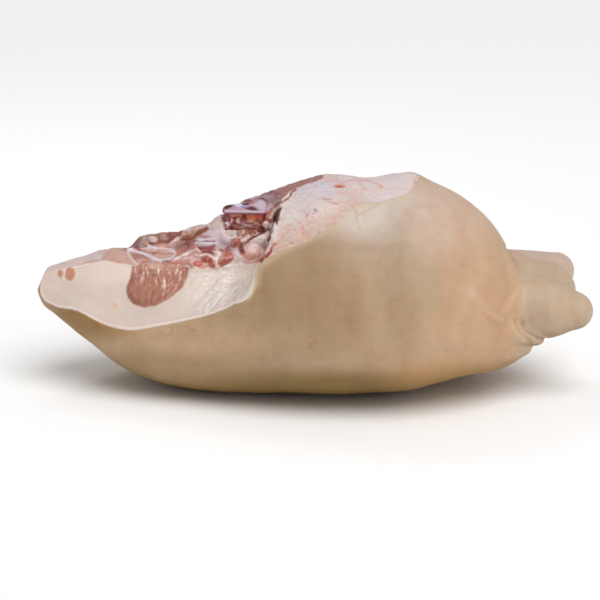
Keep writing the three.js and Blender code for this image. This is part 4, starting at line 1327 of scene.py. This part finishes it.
# The round muscle in the fat, with pale streaks that run down from its upper edge: painted highlights on its
# moist ridges.
k, d = area("round_muscle", 0.9)
k = k * deep
paint.lay(k, rgb(168, 110, 90), 0.8)
paint.lay(k * smoothstep(mid, -0.2, 0.5) * 0.4, rgb(160, 98, 80))
sway = 3.2 * layers(u / 13, v / 12, x * 0 + 2, 2)
hang = layers((u + sway + 0.12 * (v - SHINE_MIDDLE)) / 2.1, v / 12 + 0.4 * mid, x * 0 + 8, 2)
low = smoothstep(v, SHINE_FOOT - 22 * smoothstep(u, SHINE_RIGHT, SHINE_LEFT), SHINE_TOP)
low *= 1 - 0.5 * smoothstep(u, SHINE_END, SHINE_LEFT)
painted_shine = smoothstep(hang, 0.05, 0.3) * (0.25 + 0.75 * low)
paint.lay(k * painted_shine * 0.6, rgb(218, 178, 160), 1.0)
paint.lay(k * smoothstep(hang, 0.24, 0.44) * low * 0.85, rgb(244, 222, 210), 1.0)
paint.lay(k * smoothstep(-hang, 0.1, 0.45) * 0.6, rgb(140, 80, 64))
paint.height += k * (0.7 * hang * (0.3 + 0.7 * low) + 0.12 * small)
paint.height += deep * (0.6 * smoothstep(-d, 0, 5) - 0.08 * np.exp(-(np.minimum(np.abs(d), 9) ** 2)))
fringe = k * smoothstep(v + 2.2 * hang, *DOWN["fringe"]) * (spot(*FRINGE[0]) + 0.5 * spot(*FRINGE[1]))
paint.lay(np.clip(fringe, 0, 1) * 0.85, rgb(218, 176, 152), 0.9)
for name in ("tip_dot", "tip_dot_small"):
    paint.height += 0.5 * touch(deep, name)
stroke_on("tip_gap", 0.7, (240, 224, 214), 0.8)
dab(SPOTS, "fat_spot", "fat_blush", rise=0)

# Between the muscles and the hip bone: pale tendons, dark muscle and torn ends.
dab(SPOTS, "fat_end", rise=0)
stroke_on("thin_dark", 0.5, (150, 80, 76), 0.9, -0.3)
patch("slope", (212, 190, 184), "rising", 0.8, 0.35, 0.4)
stroke_on("slope_orange", 0.7, (206, 144, 118), 0.7, 0)
touch(deep, "lens_end")
patch("wide_tendon", (212, 192, 198), "flat", 0.9, 0.4, 0.5)
dab(SPOTS, "tendon_red", "orange_dot", rise=0)
stroke_on("white_slip", 0.9, (230, 220, 228))
stroke_on("white_slip_low", 1.2, (224, 210, 218))
stroke_on("slit_dark", 0.6, (122, 66, 72), 0.9, -0.8)
patch("dark_muscle", (146, 70, 72), "flat", 0.9, 0.7, 0.2, pale=(196, 150, 152))
patch("dark_bits", (146, 80, 76), "flat", 0.9, 0.6, 0.0)
patch("orange_left", (184, 78, 50), "steep", 0.9, 0.6, 0.1)
patch("orange_right", (160, 66, 42), "steep", 0.9, 0.8, 0.1)
dab(SPOTS, "dark_heart", "bright_end", rise=0)
patch("striped_end", (178, 94, 78), "steep", 0.9, 1.0, 0.1, pale=(240, 214, 204))
patch("round_lean", (176, 92, 76), "steep", 0.9, 1.0, 0.3, pale=(230, 186, 172))
dab(SPOTS, "pink_heart", rise=0)
patch("fat_between", (230, 214, 208), "flat", 0.9, 0.2)
stroke_on("white_seam", 0.8, (232, 214, 206), 0.9, 0.7)
stroke_on("white_seam_low", 0.7, (232, 214, 206), 0.9, 0.5)

# The torn ground in front of the hip bone: strands, beads of fat and clots.
k, _ = area("torn", 1.0, 1.0)
k *= deep * smoothstep(y, 34, 22)
grit = layers(x / 2.9, y / 2.9, z / 2.9, 3)
rags = layers(x / 1.9 + 9, y / 3.4, z / 1.9, 2)
paint.lay(k, rgb(176, 118, 108), 0.95)
paint.lay(k * smoothstep(grit, 0.08, 0.4) * 0.85, rgb(224, 196, 186), 0.95)
paint.lay(k * smoothstep(-grit, 0.06, 0.4), rgb(150, 62, 54), 0.95)
paint.lay(k * smoothstep(-grit, 0.34, 0.6) * 0.8, rgb(110, 34, 34), 0.95)
paint.lay(k * smoothstep(rags, 0.15, 0.4) * 0.6, rgb(184, 82, 68), 0.95)
paint.height += k * (1.1 * grit + 0.5 * rags)
for _ in range(26):
    a = np.array([_rng.uniform(*span) for span in STRAND_ZONE])
    angle = _rng.uniform(-1.5, 0.4)
    b = a + _rng.uniform(2.5, 6) * np.array([math.cos(angle), math.sin(angle)])
    halfway = (a + b) / 2 + _rng.uniform(-0.8, 0.8, 2)
    g, _ = line([a, halfway, b], _rng.uniform(0.2, 0.5), 0.45)
    color = ((214, 190, 182), (172, 62, 54), (190, 104, 84), (228, 212, 204))[_rng.integers(4)]
    paint.lay(g * k * 0.9, rgb(*color), 0.95)
    paint.height += g * k * _rng.uniform(0.2, 1.1)
for name in ("grey_lump", "grey_shade", "pale_lump"):
    dab(TORN_SPOTS, name, on=k * (0.55 + 0.45 * smoothstep(grit, -0.4, 0.1)))
patch("brown_fan", (146, 82, 58), "rising", 0.9, 1.0, 0.2, pale=(196, 148, 120))
dab(
    TORN_SPOTS, "black_red", "cream_bead", "cream_lump", "pink_side", "pearl", "pearl_highlight", "red_knot",
    "deep_spot", "low_red", on=deep, rise=0.8,
)
stroke_on("torn_slit", 0.8, (110, 28, 30), 0.95, -1.0)
patch("lilac_column", (214, 194, 198), "steep", 0.9, 0.4)
dab(TORN_SPOTS, "low_dark", on=deep, rise=0.5)
patch("tongue", (226, 206, 202), "rising", 0.9, 0.5, 0.3, pale=(244, 234, 230))
# The recess: its grey-pink lifted as painted light against the hollow's shade, and darker towards its foot as
# painted shade.
k, _ = area("recess", 0.9)
paint.lay(k * deep * 0.9, rgb(186, 160, 160), 0.7)
paint.lay(k * deep * smoothstep(v, *DOWN["recess"]) * 0.6, rgb(146, 112, 112), 0.7)
patch("ball", (234, 198, 190), "rising", 0.95, 0.4, 0.1, pale=(246, 228, 222))
# The ball's underside darkened with painted shade, and painted highlights on its top and side.
touch(deep, "ball_underside_shade", "ball_highlight", "ball_side_highlight")
stroke_on("ball_edge", 0.7, (240, 222, 216), 0.9, 0.4)
stroke_on("under_ball", 1.1, (224, 192, 180), 0.85, 0.3)
stroke_on("under_ball_red", 0.5, (196, 104, 96), 0.7, 0)
# The pale wall of the crevice, its colour lifted as painted light against the shade it lies in.
k, _ = area("wall", 1.0)
paint.lay(k * front * np.maximum(deep, bare), rgb(220, 203, 197), 0.8)
stroke_on("red_gap", 1.4, (178, 92, 80), 0.9, -0.4, front)
stroke_on("red_gap_high", 0.5, (206, 124, 100), 0.8, -0.4, front)
stroke_on("gap_lip", 0.5, (230, 204, 192), 0.7, 0.5, front)
stroke_on("deep_red", 1.3, (150, 34, 26), 0.9, -0.9, front)
stroke_on("wall_edge", 0.7, (220, 204, 198), 0.7, 0.4, front)
k, _ = area("vessel", 0.7)
paint.lay(k * front, rgb(84, 30, 22), 0.4)
touch(k * front, "vessel_sheen")
paint.height -= 0.4 * k * front
stroke_on("vessel_lip", 1.1, (234, 212, 196), 0.95, 0.8, front)

# Behind the bone: satin muscle, with pale gristle next to the bone's cap.
band, _ = area("band")
satin = strands(-0.42, 1.4, 22)
band *= smoothstep(z, 138, 143) * np.maximum(smoothstep(x, -64, -50), smoothstep(y, 12, 18))
from_middle = np.hypot((x - BAND_AT[0]) / BAND_REACH[0], (y - BAND_AT[1]) / BAND_REACH[1])
band *= 1 - smoothstep(from_middle + 0.1 * mid, 0.94, 1.06)
band *= 1 - rind_zone
paint.lay(band, rgb(156, 92, 86), 0.9)
gristle = smoothstep(u + 0.9 * (v - GRISTLE_LEVEL), *ACROSS["gristle_right"])
gristle = gristle * smoothstep(v, *DOWN["gristle"]) * smoothstep(u, *ACROSS["gristle_left"])
paint.lay(band * gristle * 0.9, rgb(212, 180, 184), 0.9)
paint.lay(band * smoothstep(satin, 0.0, 0.5) * 0.45, rgb(182, 142, 140))
paint.lay(band * smoothstep(-satin, 0.1, 0.5) * 0.45 * smoothstep(u, *ACROSS["satin"]), rgb(138, 84, 78))
k, _ = area("cap_back", 2.4)
k *= smoothstep(y, 4, 9) * smoothstep(z, 138, 143) * (1 - rind_zone)
paint.lay(k, rgb(204, 168, 174), 0.9)
paint.lay(k * smoothstep(satin, 0.0, 0.4) * 0.7, rgb(206, 190, 206))
paint.lay(k * smoothstep(-satin, 0.05, 0.4) * 0.5, rgb(172, 118, 124))
touch(k, "cap_back_red")

d, _ = path(STROKES["wall_edge"], u, v)
calm = np.maximum(within(outline(OUTLINES["vessel"], u, v), 1.5), within(d - 2.5, 1.5))
paint.height *= 1 - 0.85 * calm

# The leaner lobe behind the hock.
lobe = smoothstep(y, 8, 22) * smoothstep(x, 176, 186) * smoothstep(hk, 2, 0.5)
paint.lay(lobe, rgb(190, 167, 151), 0.5)
g, _ = line(LOBE_STAIN, 1.6, 1.2)
paint.lay(lobe * g * 0.5, rgb(196, 132, 124), 0.7)

# ---------- make the pieces ----------

give_p = p + normal * paint.height[:, None]
give_p[:, 2] = np.maximum(give_p[:, 2], 0)

ham = to_object("ham_flesh", give_p, quads, rest)
give(ham, "tint", paint.color)
give(ham, "wet", paint.wet)
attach(ham, "root")
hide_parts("ham")

bp, bq = net(
    hip_bone,
    lines(BONE["left"] - 8, BONE["right"] + 8, lambda v: 0.9),
    lines(BONE["front"] - 10, BONE["back"] + 34, lambda v: 1.1),
    lines(BONE["bottom"] - 6, BONE["top"] + 8, lambda v: 0.9),
)
bone = to_object("hip_bone_piece", bp, bq)
bn = normals_of(hip_bone, bp)
bpaint = Paint(len(bp))
bu, bv = seen_at(bp)
bx, by, bz = bp.T
b_small = layers(bx / 4, by / 4, bz / 4, 3)
b_fine = layers(bx / 1.6, by / 1.6, bz / 1.6 + 5, 2)
b_wu, b_wv = bu + 0.8 * b_small, bv + 0.5 * b_fine
cap = smoothstep(bz, BONE["top"] - BONE["cap"] - 1.4, BONE["top"] - BONE["cap"] + 0.2)


def bone_dab(table, only):
    for at, size, turn, color, strength in table.values():
        k = only * turned_blob(b_wu, b_wv, at, size, 0.4, turn)
        bpaint.lay(k * strength, rgb(*color))
        bpaint.height += 0.5 * k * (sum(color) / 765 - 0.45)


bpaint.color[:] = rgb(156, 84, 74)
bpaint.wet[:] = 0.9
broken = 1 - cap
bpaint.lay(broken * smoothstep(b_small, 0.05, 0.5) * 0.5, rgb(194, 140, 126))
bpaint.lay(broken * smoothstep(-b_small, 0.1, 0.5) * 0.6, rgb(112, 34, 34))
bone_dab(BONE_SPOTS, broken)
bpaint.lay(cap, rgb(186, 150, 168), 0.45)
bpaint.lay(cap * smoothstep(b_small, 0.0, 0.5) * 0.6, rgb(194, 158, 168))
bone_dab(CAP_SPOTS, cap)
# A painted highlight along the cap's front edge, and painted shade on its front face just below.
rim_near = np.abs(bv - CAP_RIM[1] - 0.02 * (bu - CAP_RIM[0])) - 0.5
bpaint.lay(cap * within(rim_near, 0.5) * 0.8, rgb(208, 203, 220))
bpaint.lay(cap * smoothstep(bv, CAP_RIM[1] + 0.8, CAP_RIM[1] + 1.8) * 0.8, rgb(150, 100, 104))
bpaint.lay(cap * smoothstep(bu, *ACROSS["cap_left"]) * 0.9, rgb(134, 74, 70))
bpaint.height += broken * (0.5 * b_small + 0.3 * b_fine) + cap * 0.1 * b_small
bp = bp + bn * bpaint.height[:, None]
bone.data.vertices.foreach_set("co", to_metres(bp).astype(np.float32).ravel())
bone.data.update()
give(bone, "tint", bpaint.color)
give(bone, "wet", bpaint.wet)
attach(bone, "root")
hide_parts("hip_bone")


def material(name, build):
    m = bpy.data.materials.new(name)
    m.use_nodes = True
    nodes, links = m.node_tree.nodes, m.node_tree.links
    nodes.clear()
    out = nodes.new("ShaderNodeOutputMaterial")
    shader = nodes.new("ShaderNodeBsdfPrincipled")
    links.new(shader.outputs[0], out.inputs[0])
    build(nodes, links, shader)
    return m


def flesh_nodes(nodes, links, shader):
    def new(kind, **values):
        node = nodes.new("ShaderNode" + kind)
        for key, value in values.items():
            setattr(node, key, value)
        return node

    def grain(scale, detail, place):
        node = new("TexNoise")
        node.inputs["Scale"].default_value = scale
        node.inputs["Detail"].default_value = detail
        node.inputs["Roughness"].default_value = 0.6
        links.new(place, node.inputs["Vector"])
        return node.outputs["Fac"]

    def math_node(kind, a, b, c=None):
        node = new("Math", operation=kind)
        for n, value in enumerate((a, b, c)):
            if value is None:
                continue
            if isinstance(value, (int, float)):
                node.inputs[n].default_value = value
            else:
                links.new(value, node.inputs[n])
        return node.outputs[0]

    place = new("TexCoord").outputs["Object"]
    tint = new("Attribute", attribute_name="tint").outputs["Color"]
    wet = new("Attribute", attribute_name="wet").outputs["Fac"]
    coarse = grain(95, 4, place)
    fine = grain(420, 3, place)
    value = math_node("MULTIPLY_ADD", coarse, 0.16, 0.92)
    value = math_node("MULTIPLY_ADD", fine, 0.10, math_node("SUBTRACT", value, 0.05))
    tone = new("HueSaturation")
    links.new(tint, tone.inputs["Color"])
    links.new(value, tone.inputs["Value"])
    links.new(tone.outputs["Color"], shader.inputs["Base Color"])
    rough = math_node("MULTIPLY_ADD", wet, -0.3, 0.62)
    rough = math_node("MULTIPLY_ADD", coarse, 0.14, math_node("SUBTRACT", rough, 0.07))
    links.new(rough, shader.inputs["Roughness"])
    coat = math_node("MULTIPLY", math_node("SUBTRACT", wet, 0.4), 0.5)
    links.new(math_node("MAXIMUM", coat, 0.0), shader.inputs["Coat Weight"])
    shader.inputs["Coat Roughness"].default_value = 0.18
    shader.inputs["Subsurface Weight"].default_value = 0.18
    shader.inputs["Subsurface Radius"].default_value = (1.0, 0.45, 0.3)
    shader.inputs["Subsurface Scale"].default_value = 0.003
    bump = new("Bump")
    bump.inputs["Strength"].default_value = 0.35
    bump.inputs["Distance"].default_value = 0.0006
    links.new(math_node("ADD", coarse, math_node("MULTIPLY", fine, 0.5)), bump.inputs["Height"])
    links.new(bump.outputs["Normal"], shader.inputs["Normal"])


def bone_nodes(nodes, links, shader):
    flesh_nodes(nodes, links, shader)
    shader.inputs["Specular IOR Level"].default_value = 0.2


ham.data.materials.append(material("raw_flesh", flesh_nodes))
bone.data.materials.append(material("raw_bone", bone_nodes))

# ---------- floor, light and camera ----------

bpy.ops.mesh.primitive_plane_add(size=8, location=(0, 0, -0.0005))
floor = bpy.context.object
floor.name = "floor"


def floor_nodes(nodes, links, shader):
    shader.inputs["Base Color"].default_value = (0.99, 0.99, 0.99, 1)
    shader.inputs["Roughness"].default_value = 0.9


floor.data.materials.append(material("pale_floor", floor_nodes))


def softbox(name, place, at, size, power, color):
    light = bpy.data.lights.new(name, "AREA")
    light.shape = "RECTANGLE"
    light.size, light.size_y = size
    light.energy = power
    light.color = color
    obj = bpy.data.objects.new(name, light)
    bpy.context.scene.collection.objects.link(obj)
    obj.location = place
    way = np.array(at) - np.array(place)
    flat = math.hypot(way[0], way[1])
    obj.rotation_euler = (math.atan2(flat, -way[2]), 0, math.atan2(way[1], way[0]) - math.pi / 2)


softbox("right", (1.2, -1.2, 1.0), (0, 0, 0.1), (1.0, 1.0), 5, (1, 0.98, 0.95))
softbox("glint", (-0.5, 0.9, 1.3), (-0.1, 0, 0.1), (0.7, 0.4), 3.0, (1, 1, 1))

sun = bpy.data.lights.new("sky", "SUN")
sun.energy = 1.85
sun.angle = math.radians(50)
sun_object = bpy.data.objects.new("sky", sun)
bpy.context.scene.collection.objects.link(sun_object)
sun_object.rotation_euler = (math.radians(24), math.radians(16), 0)

world = bpy.data.worlds.new("room")
bpy.context.scene.world = world
world.use_nodes = True
world.node_tree.nodes["Background"].inputs[0].default_value = (1, 1, 1, 1)
world.node_tree.nodes["Background"].inputs[1].default_value = 0.38

camera = bpy.data.cameras.new("camera")
camera.lens = 118.8
camera.sensor_width = 36
camera.shift_x, camera.shift_y = -0.025, -0.0167
camera.dof.use_dof = False
camera_object = bpy.data.objects.new("camera", camera)
bpy.context.scene.collection.objects.link(camera_object)
camera_object.location = to_metres(EYE)
camera_object.rotation_euler = (math.pi / 2 - TILT, 0, 0)
bpy.context.scene.camera = camera_object
bpy.context.scene.view_settings.view_transform = "Standard"
